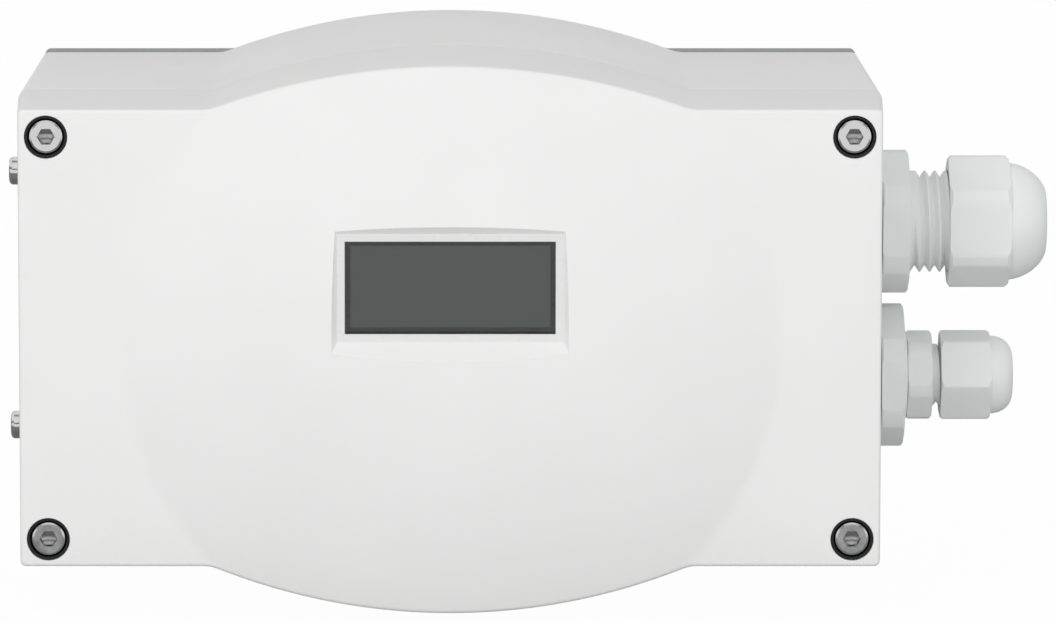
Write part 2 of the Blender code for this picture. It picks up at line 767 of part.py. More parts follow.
def make_shaft(steel, bronze, rubber):
    """Feedback shaft with its driver tongue, the flanged bush and the lip seal."""
    bm = bmesh.new()
    collar_end = COLLAR_START + COLLAR_LENGTH
    profile = [(0, -SHAFT_INNER), (SHAFT_R - 0.5, -SHAFT_INNER), (SHAFT_R, -SHAFT_INNER + 0.5)]
    profile += [(SHAFT_R, COLLAR_START), (COLLAR_R - 0.5, COLLAR_START), (COLLAR_R, COLLAR_START + 0.5)]
    profile += [(COLLAR_R, collar_end + TONGUE_LENGTH - 1), (COLLAR_R - 1, collar_end + TONGUE_LENGTH)]
    profile += [(0, collar_end + TONGUE_LENGTH)]
    add_turned(bm, "Y", (0, 0, 0), profile, RUNNING_COUNT, loop=False)
    shaft = finish("feedback_shaft", bm, steel)
    flats = bmesh.new()
    reach = COLLAR_R + 2
    for side in (-1, 1):
        low, high = sorted((side * TONGUE_THICK / 2, side * reach))
        add_block(flats, (-reach, collar_end, low), (reach, collar_end + TONGUE_LENGTH + 2, high))
    cut(shaft, flats)
    bush = bmesh.new()
    rear = Y_BUSH_FRONT + BUSH_FLANGE + BUSH_LENGTH
    ring = [(BUSH_FLANGE_R, Y_BUSH_FRONT), (BUSH_FLANGE_R, Y_BUSH_FRONT + BUSH_FLANGE)]
    ring += [(BUSH_R, Y_BUSH_FRONT + BUSH_FLANGE), (BUSH_R, rear), (SHAFT_R + RUNNING_FIT, rear)]
    ring += [(SHAFT_R + RUNNING_FIT, Y_BUSH_FRONT)]
    add_turned(bush, "Y", (0, 0, 0), ring, RUNNING_COUNT)
    finish("shaft_bush", bush, bronze)
    seal = bmesh.new()
    front = Y_REAR + SEAT
    ring = [(SEAL_R, front), (SEAL_R, front + SEAL_DEPTH), (SHAFT_R + 1.2, front + SEAL_DEPTH)]
    ring += [(SHAFT_R + SLIP, front + SEAL_DEPTH - 1.2), (SHAFT_R + 1.4, front + 1.2)]
    ring += [(SEAL_R - 2, front + 1.2), (SEAL_R - 2, front)]
    add_turned(seal, "Y", (0, 0, 0), ring)
    finish("shaft_seal", seal, rubber)


def involute(base_r, radius):
    """Angle swept by an involute between its base circle and a radius."""
    if radius <= base_r:
        return 0.0
    pressure = math.acos(base_r / radius)
    return math.tan(pressure) - pressure


def gear_ring(centre, teeth, along, turn):
    """Outline of a spur gear with involute flanks."""
    pitch_r = MODULE * teeth / 2
    base_r = pitch_r * math.cos(math.radians(20))
    root_r = pitch_r - 1.25 * MODULE
    tip_r = pitch_r + 0.95 * MODULE
    half = (math.pi * MODULE - BACKLASH) / 4 / pitch_r + involute(base_r, pitch_r)
    start_r = max(base_r, root_r + 0.1)
    flank = []
    for r in (start_r, tip_r):
        flank.append((r, half - involute(base_r, r)))
    ring = []
    for tooth in range(teeth):
        middle = turn + math.tau * tooth / teeth
        points = [(root_r, -flank[0][1])] + [(r, -a) for r, a in flank]
        points += [(r, a) for r, a in reversed(flank)] + [(root_r, flank[0][1])]
        for r, angle in points:
            ring.append(spot("Y", centre, r, middle + angle, along))
    return ring


def gear_blank(name, x, teeth, turn, plastic):
    bm = bmesh.new()
    add_loft(bm, [gear_ring((x, 0, 0), teeth, y, turn) for y in (Y_GEAR, Y_GEAR + GEAR_WIDTH)])
    return finish(name, bm, plastic, (x, 0, 0))


def make_shaft_gear(plastic):
    """Gear on the feedback shaft: hub towards the clip, web pierced by round holes."""
    gear = gear_blank("shaft_gear", 0.0, SHAFT_TEETH, 0.0, plastic)
    hub = bmesh.new()
    add_rod(hub, "Y", (0, 0, 0), HUB_R, Y_GEAR - HUB_LENGTH, Y_GEAR + GEAR_WIDTH / 2)
    fuse(gear, hub)
    bore = bmesh.new()
    start = Y_GEAR - HUB_LENGTH - 1
    add_rod(bore, "Y", (0, 0, 0), SHAFT_R + SLIP / 2, start, Y_GEAR + GEAR_WIDTH + 1, RUNNING_COUNT)
    for i in range(WEB_HOLES):
        angle = math.tau * (i + 0.5) / WEB_HOLES
        place = spot("Y", (0, 0, 0), (HUB_R + MODULE * (SHAFT_TEETH / 2 - 1.25)) / 2, angle, 0)
        add_rod(bore, "Y", place, WEB_HOLE_R, Y_GEAR - 1, Y_GEAR + GEAR_WIDTH + 1, 8)
    cut(gear, bore)


def make_sensor_pinion(spindle_start, plastic):
    """Pinion moulded in one piece with the spindle that turns in the sensor."""
    pinion = gear_blank("sensor_pinion", SENSOR_X, SENSOR_TEETH, math.pi + math.pi / SENSOR_TEETH, plastic)
    spindle = bmesh.new()
    add_rod(spindle, "Y", (SENSOR_X, 0, 0), SPINDLE_R, spindle_start, Y_GEAR + GEAR_WIDTH / 2)
    fuse(pinion, spindle)


def bracket_posts():
    """Posts that carry the sensor bracket, clear of both gears."""
    left = -(MODULE * (SHAFT_TEETH / 2 + 1) + BRACKET_POST_R)
    right = SENSOR_X + MODULE * (SENSOR_TEETH / 2 + 1) + BRACKET_POST_R
    return [(x, z) for x in (left, right) for z in (-BRACKET_POST_Z, BRACKET_POST_Z)]


def pillar_places():
    """Pillars that carry both boards, screwed into posts of the housing."""
    heights = (DISPLAY_BOARD_BOTTOM + PILLAR_INSET, DISPLAY_BOARD_TOP - PILLAR_INSET)
    return [(side * PILLAR_X, z) for z in heights for side in (-1, 1)]


def make_sensor(metal, plastic, steel, gear_plastic):
    """Bracket, rotary sensor, its spindle and the two gears."""
    bm = bmesh.new()
    left, right = bracket_posts()[0][0] - BRACKET_MARGIN, bracket_posts()[-1][0] + BRACKET_MARGIN
    add_block(bm, (left, Y_BRACKET - BRACKET_THICK, -BRACKET_HALF_Z), (right, Y_BRACKET, BRACKET_HALF_Z), 0.3)
    bracket = finish("sensor_bracket", bm, metal)
    holes = bmesh.new()
    add_rod(holes, "Y", (0, 0, 0), SHAFT_R + SLIP, Y_BRACKET - BRACKET_THICK - 1, Y_BRACKET + 1)
    add_rod(holes, "Y", (SENSOR_X, 0, 0), SPINDLE_R + SLIP, Y_BRACKET - BRACKET_THICK - 1, Y_BRACKET + 1)
    for x, z in bracket_posts():
        add_rod(holes, "Y", (x, 0, z), STAKE_R + SLIP, Y_BRACKET - BRACKET_THICK - 1, Y_BRACKET + 1)
    cut(bracket, holes)
    body = bmesh.new()
    rear = Y_BRACKET - BRACKET_THICK - SEAT
    ring = [(SENSOR_R, rear), (SENSOR_R, rear - SENSOR_LENGTH + 1), (SENSOR_R - 1, rear - SENSOR_LENGTH)]
    ring += [(SPINDLE_R + SLIP, rear - SENSOR_LENGTH), (SPINDLE_R + SLIP, rear)]
    add_turned(body, "Y", (SENSOR_X, 0, 0), ring)
    finish("position_sensor", body, plastic)
    make_shaft_gear(gear_plastic)
    make_sensor_pinion(rear - SENSOR_LENGTH + 1, gear_plastic)
    clip = bmesh.new()
    ring = [(CLIP_R, Y_CLIP), (CLIP_R, Y_CLIP + CLIP_THICK), (SHAFT_R + SLIP / 2, Y_CLIP + CLIP_THICK)]
    ring += [(SHAFT_R + SLIP / 2, Y_CLIP)]
    add_turned(clip, "Y", (0, 0, 0), ring, RUNNING_COUNT)
    finish("shaft_clip", clip, steel)


def drilled_board(name, low, high, board):
    """Circuit board with holes for the pillars' studs and screws."""
    bm = bmesh.new()
    add_block(bm, low, high)
    plate = finish(name, bm, board)
    drill = bmesh.new()
    for x, z in pillar_places():
        add_rod(drill, "Y", (x, 0, z), STUD_R + SLIP, low[1] - 1, high[1] + 1, FINE_COUNT)
    cut(plate, drill)


def make_boards(board, brass):
    """Main board on the housing's posts, and display board on the pillars in front of it."""
    low = (MAIN_BOARD_LEFT, Y_BOARD, -MAIN_BOARD_HALF_Z)
    drilled_board("main_board", low, (MAIN_BOARD_RIGHT, Y_BOARD + BOARD_THICK, MAIN_BOARD_HALF_Z), board)
    half_w = DISPLAY_BOARD_W / 2
    low = (-half_w, Y_DISPLAY, DISPLAY_BOARD_BOTTOM)
    drilled_board("display_board", low, (half_w, Y_DISPLAY + BOARD_THICK, DISPLAY_BOARD_TOP), board)
    for number, (x, z) in enumerate(pillar_places(), 1):
        front = Y_DISPLAY + BOARD_THICK + SLIP
        back = Y_BOARD - SLIP
        tip = Y_BOARD + BOARD_THICK + STUD_REACH
        pillar = bmesh.new()
        profile = [(0, front + PILLAR_TAP), (STUD_R, front + PILLAR_TAP), (STUD_R, front)]
        profile += [(PILLAR_R, front), (PILLAR_R, back), (STUD_R, back), (STUD_R, tip), (0, tip)]
        add_turned(pillar, "Y", (x, 0, z), profile, FINE_COUNT, loop=False)
        finish(f"board_pillar_{number}", pillar, brass)


def make_display(plastic):
    """Display module: frame, viewing area and the step that clips to its board."""
    bm = bmesh.new()
    low = (-MODULE_W / 2, Y_MODULE, WINDOW_Z - MODULE_H / 2)
    high = (MODULE_W / 2, Y_MODULE + MODULE_DEPTH, WINDOW_Z + MODULE_H / 2)
    add_block(bm, low, high, 0.6)
    module = finish("display_module", bm, plastic)
    face = bmesh.new()
    add_block(face, *window_box(-0.5, Y_MODULE - 1, Y_MODULE + 0.6))
    cut(module, face)


def button_places():
    first = -BUTTON_PITCH * (BUTTON_COUNT - 1) / 2
    return [first + BUTTON_PITCH * i for i in range(BUTTON_COUNT)]


def make_buttons(dark, light):
    """Push buttons in the frame that guides them, on the display board."""
    rear = Y_DISPLAY - SEAT
    front = rear - BUTTON_BASE_H
    half = BUTTON_BASE / 2
    reach = button_places()[-1] + half
    bases = bmesh.new()
    add_block(bases, (-reach, front, BUTTON_Z - half), (reach, rear, BUTTON_Z + half), 0.4)
    base = finish("keypad_frame", bases, dark)
    holes = bmesh.new()
    for x in button_places():
        add_rod(holes, "Y", (x, 0, BUTTON_Z), BUTTON_STEM_R + SLIP, front - 1, rear + 1)
    cut(base, holes)
    for number, x in enumerate(button_places(), 1):
        bm = bmesh.new()
        cap_back = front - BUTTON_TRAVEL - SEAT
        cap_front = cap_back - BUTTON_CAP_H
        stem_end = rear - BUTTON_TRAVEL - SLIP
        profile = [(0, cap_front), (BUTTON_CAP_R - 0.5, cap_front), (BUTTON_CAP_R, cap_front + 0.5)]
        profile += [(BUTTON_CAP_R, cap_back), (BUTTON_STEM_R, cap_back), (BUTTON_STEM_R, stem_end)]
        profile += [(0, stem_end)]
        add_turned(bm, "Y", (x, 0, BUTTON_Z), profile, loop=False)
        finish(f"push_button_{number}", bm, light, (x, cap_back, BUTTON_Z))


def make_terminals(plastic):
    """Screw terminal strip for the signal and supply wires."""
    right = MAIN_BOARD_RIGHT
    left = right - TERMINAL_W
    rear = Y_BOARD - SEAT
    front = rear - TERMINAL_H
    half = TERMINAL_PITCH * TERMINAL_COUNT / 2 + 0.5
    bm = bmesh.new()
    add_block(bm, (left, front, -half), (right, rear, half), 0.5)
    strip = finish("terminal_strip", bm, plastic)
    wells = bmesh.new()
    ways = bmesh.new()
    middle = left + TERMINAL_W * 0.4
    for i in range(TERMINAL_COUNT):
        z = TERMINAL_PITCH * (i - (TERMINAL_COUNT - 1) / 2)
        add_rod(wells, "Y", (middle, 0, z), TERMINAL_SCREW_R + SLIP, front - 1, front + 4, 8)
        low = (right - WIRE_HOLE_DEPTH, rear - WIRE_HOLE_Y, z - WIRE_HOLE / 2)
        add_block(ways, low, (right + 1, low[1] + WIRE_HOLE, low[2] + WIRE_HOLE))
    cut(strip, wells)
    cut(strip, ways)


def make_switches(red, white):
    """Setting switches: one body with two sliders."""
    rear = Y_BOARD - SEAT
    front = rear - SWITCH_D
    bm = bmesh.new()
    low = (SWITCH_X - SWITCH_W / 2, front, SWITCH_Z - SWITCH_H / 2)
    add_block(bm, low, (SWITCH_X + SWITCH_W / 2, rear, SWITCH_Z + SWITCH_H / 2), 0.3)
    body = finish("switch_body", bm, red)
    slots = bmesh.new()
    slot_half = (SLIDER_LENGTH + SLIDER_TRAVEL) / 2 + SLIP
    for number, side in enumerate((-1, 1), 1):
        x = SWITCH_X + side * SWITCH_PITCH / 2
        reach = SLIDER_W / 2 + SLIP
        low = (x - reach, front - 1, SWITCH_Z - slot_half)
        add_block(slots, low, (x + reach, front + SLOT_DEPTH, SWITCH_Z + slot_half))
        start = SWITCH_Z - (SLIDER_LENGTH + SLIDER_TRAVEL) / 2
        slider = bmesh.new()
        low = (x - SLIDER_W / 2, front - SLIDER_PROUD, start)
        add_block(slider, low, (x + SLIDER_W / 2, front + SLOT_DEPTH - SLIP, start + SLIDER_LENGTH))
        finish(f"switch_slider_{number}", slider, white, (x, front, start))
    cut(body, slots)


def port_places():
    return [-PORT_PITCH, 0.0, PORT_PITCH]


def make_pneumatics(aluminium, metal, rubber, steel, dark):
    """Valve block with three ports, the port plate, its gasket and screws, and two pilot valves."""
    face = -WALL_X + WALL + SEAT + 1.0
    y = GLAND_AXIS_Y
    bm = bmesh.new()
    low = (face, y - BLOCK_HALF_Y, -BLOCK_HALF_Z)
    add_block(bm, low, (face + BLOCK_W, y + BLOCK_HALF_Y, BLOCK_HALF_Z), 0.8)
    block = finish("valve_block", bm, aluminium)
    spigots = bmesh.new()
    for z in port_places():
        add_rod(spigots, "X", (0, y, z), SPIGOT_R, -WALL_X + SEAT, face + 2)
    fuse(block, spigots)
    bores = bmesh.new()
    for z in port_places():
        tip = face + PORT_DEPTH
        profile = [(0, -WALL_X - 2), (PORT_R, -WALL_X - 2), (PORT_R, tip), (0, tip + 2)]
        add_turned(bores, "X", (0, y, z), profile, loop=False)
    for z in (PORT_SCREW_Z, -PORT_SCREW_Z):
        add_rod(bores, "X", (0, y, z), PORT_SCREW_R + SEAT, face - 2, face + PORT_TAP_LENGTH, FINE_COUNT)
    cut(block, bores)
    plate = bmesh.new()
    outer = -WALL_X - SEAT
    half_w = PORT_PLATE_W / 2
    low = (outer - PORT_PLATE, y - half_w, -PORT_PLATE_HALF_Z)
    add_block(plate, low, (outer, y + half_w, PORT_PLATE_HALF_Z), 0.25)
    port_plate = finish("port_plate", plate, metal)
    holes = bmesh.new()
    for z in port_places():
        add_rod(holes, "X", (0, y, z), PORT_R + 0.6, outer - PORT_PLATE - 1, outer + 1)
    for z in (PORT_SCREW_Z, -PORT_SCREW_Z):
        add_rod(holes, "X", (0, y, z), PORT_SCREW_R + SEAT, outer - PORT_PLATE - 1, outer + 1, FINE_COUNT)
    cut(port_plate, holes)
    gasket = bmesh.new()
    low = (face - SEAT - 0.6, y - half_w, -BLOCK_HALF_Z)
    add_block(gasket, low, (face - SEAT, y + half_w, BLOCK_HALF_Z))
    seal = finish("port_gasket", gasket, rubber)
    holes = bmesh.new()
    for z in port_places():
        add_rod(holes, "X", (0, y, z), SPIGOT_R + SLIP, face - 2, face + 1)
    for z in (PORT_SCREW_Z, -PORT_SCREW_Z):
        add_rod(holes, "X", (0, y, z), PORT_SCREW_R + SEAT, face - 2, face + 1, FINE_COUNT)
    cut(seal, holes)
    seat = outer - PORT_PLATE - SLIP / 2
    head = seat - PORT_SCREW_HEAD_H
    for number, z in enumerate((PORT_SCREW_Z, -PORT_SCREW_Z), 1):
        bm = bmesh.new()
        profile = [(0, head), (PORT_SCREW_HEAD_R - 0.3, head), (PORT_SCREW_HEAD_R, head + 0.4)]
        profile += [(PORT_SCREW_HEAD_R, seat), (PORT_SCREW_R, seat), (PORT_SCREW_R, seat + PORT_SCREW_REACH)]
        add_turned(bm, "X", (0, y, z), profile + [(0, seat + PORT_SCREW_REACH + 0.5)], loop=False)
        screw = finish(f"port_screw_{number}", bm, steel)
        socket = bmesh.new()
        depths = (head - 1, head + REAR_SOCKET_DEPTH)
        add_loft(socket, [circle("X", (0, y, z), REAR_SOCKET_R, x, 6) for x in depths])
        cut(screw, socket)
    back = y - BLOCK_HALF_Y - SEAT
    for number, z in enumerate((VALVE_Z, -VALVE_Z), 1):
        bm = bmesh.new()
        profile = [(0, back), (VALVE_R - 1, back), (VALVE_R - 1, back - 2), (VALVE_R, back - 2.6)]
        profile += [(VALVE_R, back - VALVE_LENGTH + 3), (VALVE_R - 2.5, back - VALVE_LENGTH + 2)]
        profile += [(VALVE_R - 2.5, back - VALVE_LENGTH), (0, back - VALVE_LENGTH)]
        add_turned(bm, "Y", (face + BLOCK_W / 2, 0, z), profile, 16, loop=False)
        finish(f"pilot_valve_{number}", bm, dark)


def add_hex_body(bm, centre, rings):
    """Skin rings that may be hexagonal or round: (kind, size, along, turn, cut)."""
    made = []
    for kind, size, along, turn, cut_size in rings:
        if kind == "hex":
            made.append(hexagon("X", centre, size, cut_size[1], along, turn))
        else:
            made.append(round_like_hexagon("X", centre, size, cut_size, along, turn))
    return add_loft(bm, made, loop=True)


def make_wall_fitting(name, z, flange, shank_bore_r, tail, plastic):
    """Flanged fitting through the wall. The tail is what stands out of its flange."""
    hexed = (FLANGE_AF, FLANGE_CUT_R)
    centre = (0.0, GLAND_AXIS_Y, z)
    end = X_FLANGE + flange
    inner = WALL_X - SHANK_IN
    rings = [("round", shank_bore_r, inner, GLAND_TURN, hexed)]
    rings += [("round", THREAD20_R, inner, GLAND_TURN, hexed)]
    rings += [("round", THREAD20_R, X_FLANGE, GLAND_TURN, hexed)]
    back = (FLANGE_AF, FLANGE_CUT_R - FLANGE_BEVEL)
    front = (FLANGE_AF - FLANGE_EDGE, FLANGE_CUT_R - FLANGE_EDGE)
    rings += [("hex", FLANGE_AF, X_FLANGE, GLAND_TURN, back)]
    rings += [("hex", FLANGE_AF, X_FLANGE + FLANGE_BEVEL_LENGTH, GLAND_TURN, hexed)]
    rings += [("hex", FLANGE_AF, end - FLANGE_EDGE, GLAND_TURN, hexed)]
    rings += [("hex", front[0], end, GLAND_TURN, front)]
    for radius, along in tail:
        rings.append(("round", radius, along, GLAND_TURN, hexed))
    bm = bmesh.new()
    add_hex_body(bm, centre, rings)
    return finish(name, bm, plastic)


def make_washer(name, z, rubber):
    bm = bmesh.new()
    ring = [(WASHER_R, X_WASHER), (WASHER_R, X_WASHER + WASHER_T)]
    ring += [(THREAD20_R + SEAT, X_WASHER + WASHER_T), (THREAD20_R + SEAT, X_WASHER)]
    add_turned(bm, "X", (0, GLAND_AXIS_Y, z), ring, WIDE_COUNT)
    finish(name, bm, rubber)


def make_lock_nut(name, z, plastic):
    """Lock nut against the inside of the wall."""
    outer = WALL_X - WALL - SEAT - 0.3
    hexed = (LOCK_AF, LOCK_CUT_R)
    rings = [("round", THREAD20_R + SEAT, outer, 0.0, hexed), ("hex", LOCK_AF, outer, 0.0, hexed)]
    rings += [("hex", LOCK_AF, outer - LOCK_T, 0.0, hexed)]
    rings += [("round", THREAD20_R + SEAT, outer - LOCK_T, 0.0, hexed)]
    bm = bmesh.new()
    add_hex_body(bm, (0.0, GLAND_AXIS_Y, z), rings)
    finish(name, bm, plastic)


def make_cap_nut(name, z, start, sizes, plastic):
    """Domed cap nut: hexagon, turned dome, stepped bore."""
    flats, cut_r, length, dome, thread_r, step_r, hole_r, step_1, step_2, turn = sizes
    dome_r, dome_length, power = dome
    hexed = (flats, cut_r)
    bevel = 0.8 * (cut_r - flats / 2)
    bevelled = (flats - SLIP, cut_r - bevel)
    end = start + length
    rings = [("round", thread_r, start, turn, hexed), ("hex", bevelled[0], start, turn, bevelled)]
    rings += [("hex", flats, start + bevel, turn, hexed), ("hex", flats, end - NUT_BEVEL_LENGTH, turn, hexed)]
    rings += [("hex", bevelled[0], end, turn, bevelled)]
    lip_r = hole_r + NUT_LIP
    for degrees in (0, 25, 48, 68, 90):
        along = math.sin(math.radians(degrees))
        radius = lip_r + (dome_r - lip_r) * max(1 - along ** power, 0.0) ** (1 / power)
        rings.append(("round", radius, end + dome_length * along, turn, hexed))
    rings.append(("round", hole_r, end + dome_length - NUT_LIP, turn, hexed))
    rings += [("round", hole_r, step_2, turn, hexed), ("round", step_r, step_2, turn, hexed)]
    rings += [("round", step_r, step_1, turn, hexed), ("round", thread_r, step_1, turn, hexed)]
    bm = bmesh.new()
    add_hex_body(bm, (0.0, GLAND_AXIS_Y, z), rings)
    finish(name, bm, plastic, (start, GLAND_AXIS_Y, z))


def make_seal_insert(name, z, start, length, outer_r, bore_r, rubber):
    """Rubber insert that grips the cable, with a tapered tail."""
    bm = bmesh.new()
    ring = [(bore_r, start), (outer_r - 0.8, start), (outer_r, start + 2), (outer_r, start + length)]
    ring += [(bore_r + 0.5, start + length), (bore_r, start + length - 0.8)]
    add_turned(bm, "X", (0, GLAND_AXIS_Y, z), ring)
    finish(name, bm, rubber, (start, GLAND_AXIS_Y, z))


def make_large_gland(plastic, rubber):
    """M20 gland: body through the wall, seal insert and cap nut."""
    z = GLAND_Z
    flange_end = X_FLANGE + M20_FLANGE
    mouth = flange_end + M20_NECK
    seat = mouth - M20_TRAVEL - M20_GRIP
    tail = [(THREAD20_R + 0.1, flange_end), (THREAD20_R + 0.1, mouth), (M20_BORE_R, mouth)]
    tail += [(M20_BORE_R, seat), (M20_CABLE_R, seat)]
    make_wall_fitting("gland_body_m20", z, M20_FLANGE, M20_CABLE_R, tail, plastic)
    make_washer("gland_washer_m20", z, rubber)
    make_lock_nut("lock_nut_m20", z, plastic)
    start = flange_end + M20_NUT_START
    insert_start = seat + M20_TRAVEL + SEAT
    step_1 = mouth + M20_TRAVEL + SEAT
    step_2 = insert_start + M20_INSERT_LENGTH + SEAT
    dome = (M20_DOME_R, M20_DOME_LENGTH, M20_DOME_POWER)
    sizes = (M20_NUT_AF, M20_NUT_CUT_R, M20_NUT_LENGTH, dome,
             THREAD20_R + 0.1 + SEAT, M20_BORE_R + SLIP, M20_CABLE_R, step_1, step_2, GLAND_TURN)
    make_cap_nut("cap_nut_m20", z, start, sizes, plastic)
    make_seal_insert("seal_insert_m20", z, insert_start, M20_INSERT_LENGTH, M20_BORE_R - SLIP,
                     M20_INSERT_BORE_R, rubber)


def make_small_gland(plastic, rubber):
    """Reducer in the wall, with an M12 gland screwed into it."""
    z = -GLAND_Z
    flange_end = X_FLANGE + M12_FLANGE
    bore = M12_THREAD_R + SEAT
    make_wall_fitting("reducer_m20_m12", z, M12_FLANGE, bore, [(bore, flange_end)], plastic)
    make_washer("reducer_washer", z, rubber)
    make_lock_nut("reducer_lock_nut", z, plastic)
    ring_bm = bmesh.new()
    ring_x = flange_end + SLIP / 2
    ring = [(M12_RING_R, ring_x), (M12_RING_R, ring_x + M12_RING_T)]
    ring += [(bore, ring_x + M12_RING_T), (bore, ring_x)]
    add_turned(ring_bm, "X", (0, GLAND_AXIS_Y, z), ring)
    finish("gland_ring_m12", ring_bm, rubber)
    hexed = (M12_HEX_AF, M12_HEX_CUT_R)
    hex_x = ring_x + M12_RING_T + SLIP / 2
    hex_end = hex_x + M12_HEX
    mouth = hex_end + M12_NECK
    seat = mouth - M12_TRAVEL - M12_GRIP
    inner = WALL_X - SHANK_IN + 3
    turn = M12_HEX_TURN
    rings = [("round", M12_CABLE_R, inner, turn, hexed), ("round", M12_THREAD_R, inner, turn, hexed)]
    rings += [("round", M12_THREAD_R, hex_x, turn, hexed), ("hex", M12_HEX_AF, hex_x, turn, hexed)]
    rings += [("hex", M12_HEX_AF, hex_end - 0.5, turn, hexed)]
    rings += [("hex", M12_HEX_AF - 0.5, hex_end, turn, (M12_HEX_AF - 0.5, M12_HEX_CUT_R - 0.6))]
    rings += [("round", M12_NECK_R, hex_end, turn, hexed), ("round", M12_NECK_R, mouth, turn, hexed)]
    rings += [("round", M12_BORE_R, mouth, turn, hexed), ("round", M12_BORE_R, seat, turn, hexed)]
    rings += [("round", M12_CABLE_R, seat, turn, hexed)]
    bm = bmesh.new()
    add_hex_body(bm, (0.0, GLAND_AXIS_Y, z), rings)
    finish("gland_body_m12", bm, plastic)
    start = hex_end + M12_NUT_START
    insert_start = seat + M12_TRAVEL + SEAT
    step_1 = mouth + M12_TRAVEL + SEAT
    step_2 = insert_start + M12_INSERT_LENGTH + SEAT
    dome = (M12_DOME_R, M12_DOME_LENGTH, M12_DOME_POWER)
    sizes = (M12_NUT_AF, M12_NUT_CUT_R, M12_NUT_LENGTH, dome,
             M12_NECK_R + SEAT, M12_BORE_R + SLIP, M12_CABLE_R, step_1, step_2, M12_NUT_TURN)
    make_cap_nut("cap_nut_m12", z, start, sizes, plastic)
    make_seal_insert("seal_insert_m12", z, insert_start, M12_INSERT_LENGTH, M12_BORE_R - SLIP,
                     M12_INSERT_BORE_R, rubber)


def clear_scene():
    for thing in list(bpy.data.objects):
        bpy.data.objects.remove(thing, do_unlink=True)


def main():
    clear_scene()
    casing = material("casing_plastic", 236, 0.45)
    gland = material("gland_plastic", 215, 0.5, tint=(0.98, 1.0, 1.0))
    dark_metal = material("dark_plate", 92, 0.5, metallic=0.3)
    steel = material("steel", 190, 0.3, metallic=1.0)
    aluminium = material("aluminium", 180, 0.4, metallic=1.0)
    brass = material("brass", 190, 0.35, metallic=1.0, tint=(1.0, 0.8, 0.4))
    rubber = material("black_rubber", 38, 0.8)
    glass = material("display_glass", 90, 0.15, alpha=0.5)
    board = material("board_green", 90, 0.5, tint=(0.3, 1.0, 0.5))
    dark = material("dark_plastic", 50, 0.5)
    light = material("button_plastic", 200, 0.5)
    red = material("switch_red", 170, 0.5, tint=(1.0, 0.1, 0.08))
    make_cover(casing)
    make_window(glass)
    for number, (x, z) in enumerate(screw_places(), 1):
        make_cover_screw(number, x, z, steel, dark)
    make_housing(casing)
    make_cover_gasket(rubber)
    make_rear_plate(dark_metal)
    make_rear_screws(steel)
    make_shaft(steel, brass, rubber)
    make_sensor(aluminium, dark, steel, light)
    make_boards(board, brass)
    make_display(dark)
    make_buttons(dark, light)
    make_terminals(gland)
    make_switches(red, light)
    make_pneumatics(aluminium, aluminium, rubber, steel, dark)
    make_large_gland(gland, rubber)
    make_small_gland(gland, rubber)


main()
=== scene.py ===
"""Looks of a valve positioner, laid out as an add-on and run as a script.

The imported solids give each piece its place. The modelling calls take millimetres, and the
helpers that reach Blender turn them into metres.
"""
import math
from itertools import product

import bmesh
import bpy
from bpy.props import FloatProperty, FloatVectorProperty, PointerProperty
from mathutils import Matrix, Vector


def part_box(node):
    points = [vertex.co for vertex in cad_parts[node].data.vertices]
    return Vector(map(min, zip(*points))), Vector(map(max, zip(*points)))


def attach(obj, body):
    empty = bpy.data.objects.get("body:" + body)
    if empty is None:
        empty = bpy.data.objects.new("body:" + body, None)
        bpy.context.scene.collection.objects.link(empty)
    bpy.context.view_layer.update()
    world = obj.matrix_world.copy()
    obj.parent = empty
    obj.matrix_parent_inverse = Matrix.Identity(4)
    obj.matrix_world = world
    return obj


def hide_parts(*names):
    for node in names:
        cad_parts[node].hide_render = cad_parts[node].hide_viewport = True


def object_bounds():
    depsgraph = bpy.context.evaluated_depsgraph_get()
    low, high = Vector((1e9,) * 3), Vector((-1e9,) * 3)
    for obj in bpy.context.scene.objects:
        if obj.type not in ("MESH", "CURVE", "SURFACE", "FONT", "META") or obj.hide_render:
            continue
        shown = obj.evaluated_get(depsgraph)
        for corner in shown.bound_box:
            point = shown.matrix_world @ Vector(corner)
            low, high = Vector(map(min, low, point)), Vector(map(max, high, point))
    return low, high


bl_info = {
    "name": "Valve Positioner",
    "version": (1, 0, 0),
    "blender": (4, 5, 0),
    "location": "View3D > Sidebar > Positioner",
    "description": "Models a valve positioner piece by piece round its packed solids",
    "category": "Add Mesh",
}

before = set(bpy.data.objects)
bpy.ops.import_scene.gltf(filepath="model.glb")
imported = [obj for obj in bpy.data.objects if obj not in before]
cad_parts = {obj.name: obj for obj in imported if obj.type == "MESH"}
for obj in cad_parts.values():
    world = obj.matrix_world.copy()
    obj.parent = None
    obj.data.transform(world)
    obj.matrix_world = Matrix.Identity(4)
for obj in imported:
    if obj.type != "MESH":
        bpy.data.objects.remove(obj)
SOLIDS_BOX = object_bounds()
MM = 0.001

# Turns that lay a shape drawn along Z onto another axis
LAID = {
    "X": Matrix.Rotation(math.pi / 2, 4, "Y"),
    "Y": Matrix.Rotation(-math.pi / 2, 4, "X"),
    "Z": Matrix.Identity(4),
}

# Gaps and overlaps between a piece and its tools
SEAT = 0.3
SLIP = 0.2
PROUD = 1.0

# Distance in metres under which two points count as one
MERGE = 1e-6

# Fineness of round shapes
LARGE = 96
MEDIUM = 64
FAIR = 48
SMALL = 32
COARSE = 24

# Smoothing angle in degrees that keeps flat faces flat beside narrow bevels
CRISP = 13.0

# Sizes that several pieces share
REBATE = 0.8
BOSS_RADIUS = 5.0
PORT_PITCH = 17.0
PORT_SCREW_HOLE = 1.8
GLAND_HOLE = 10.1

# Part of a noise's range that is stretched over a whole ramp
SOURCE_RANGE = (0.3, 0.7)


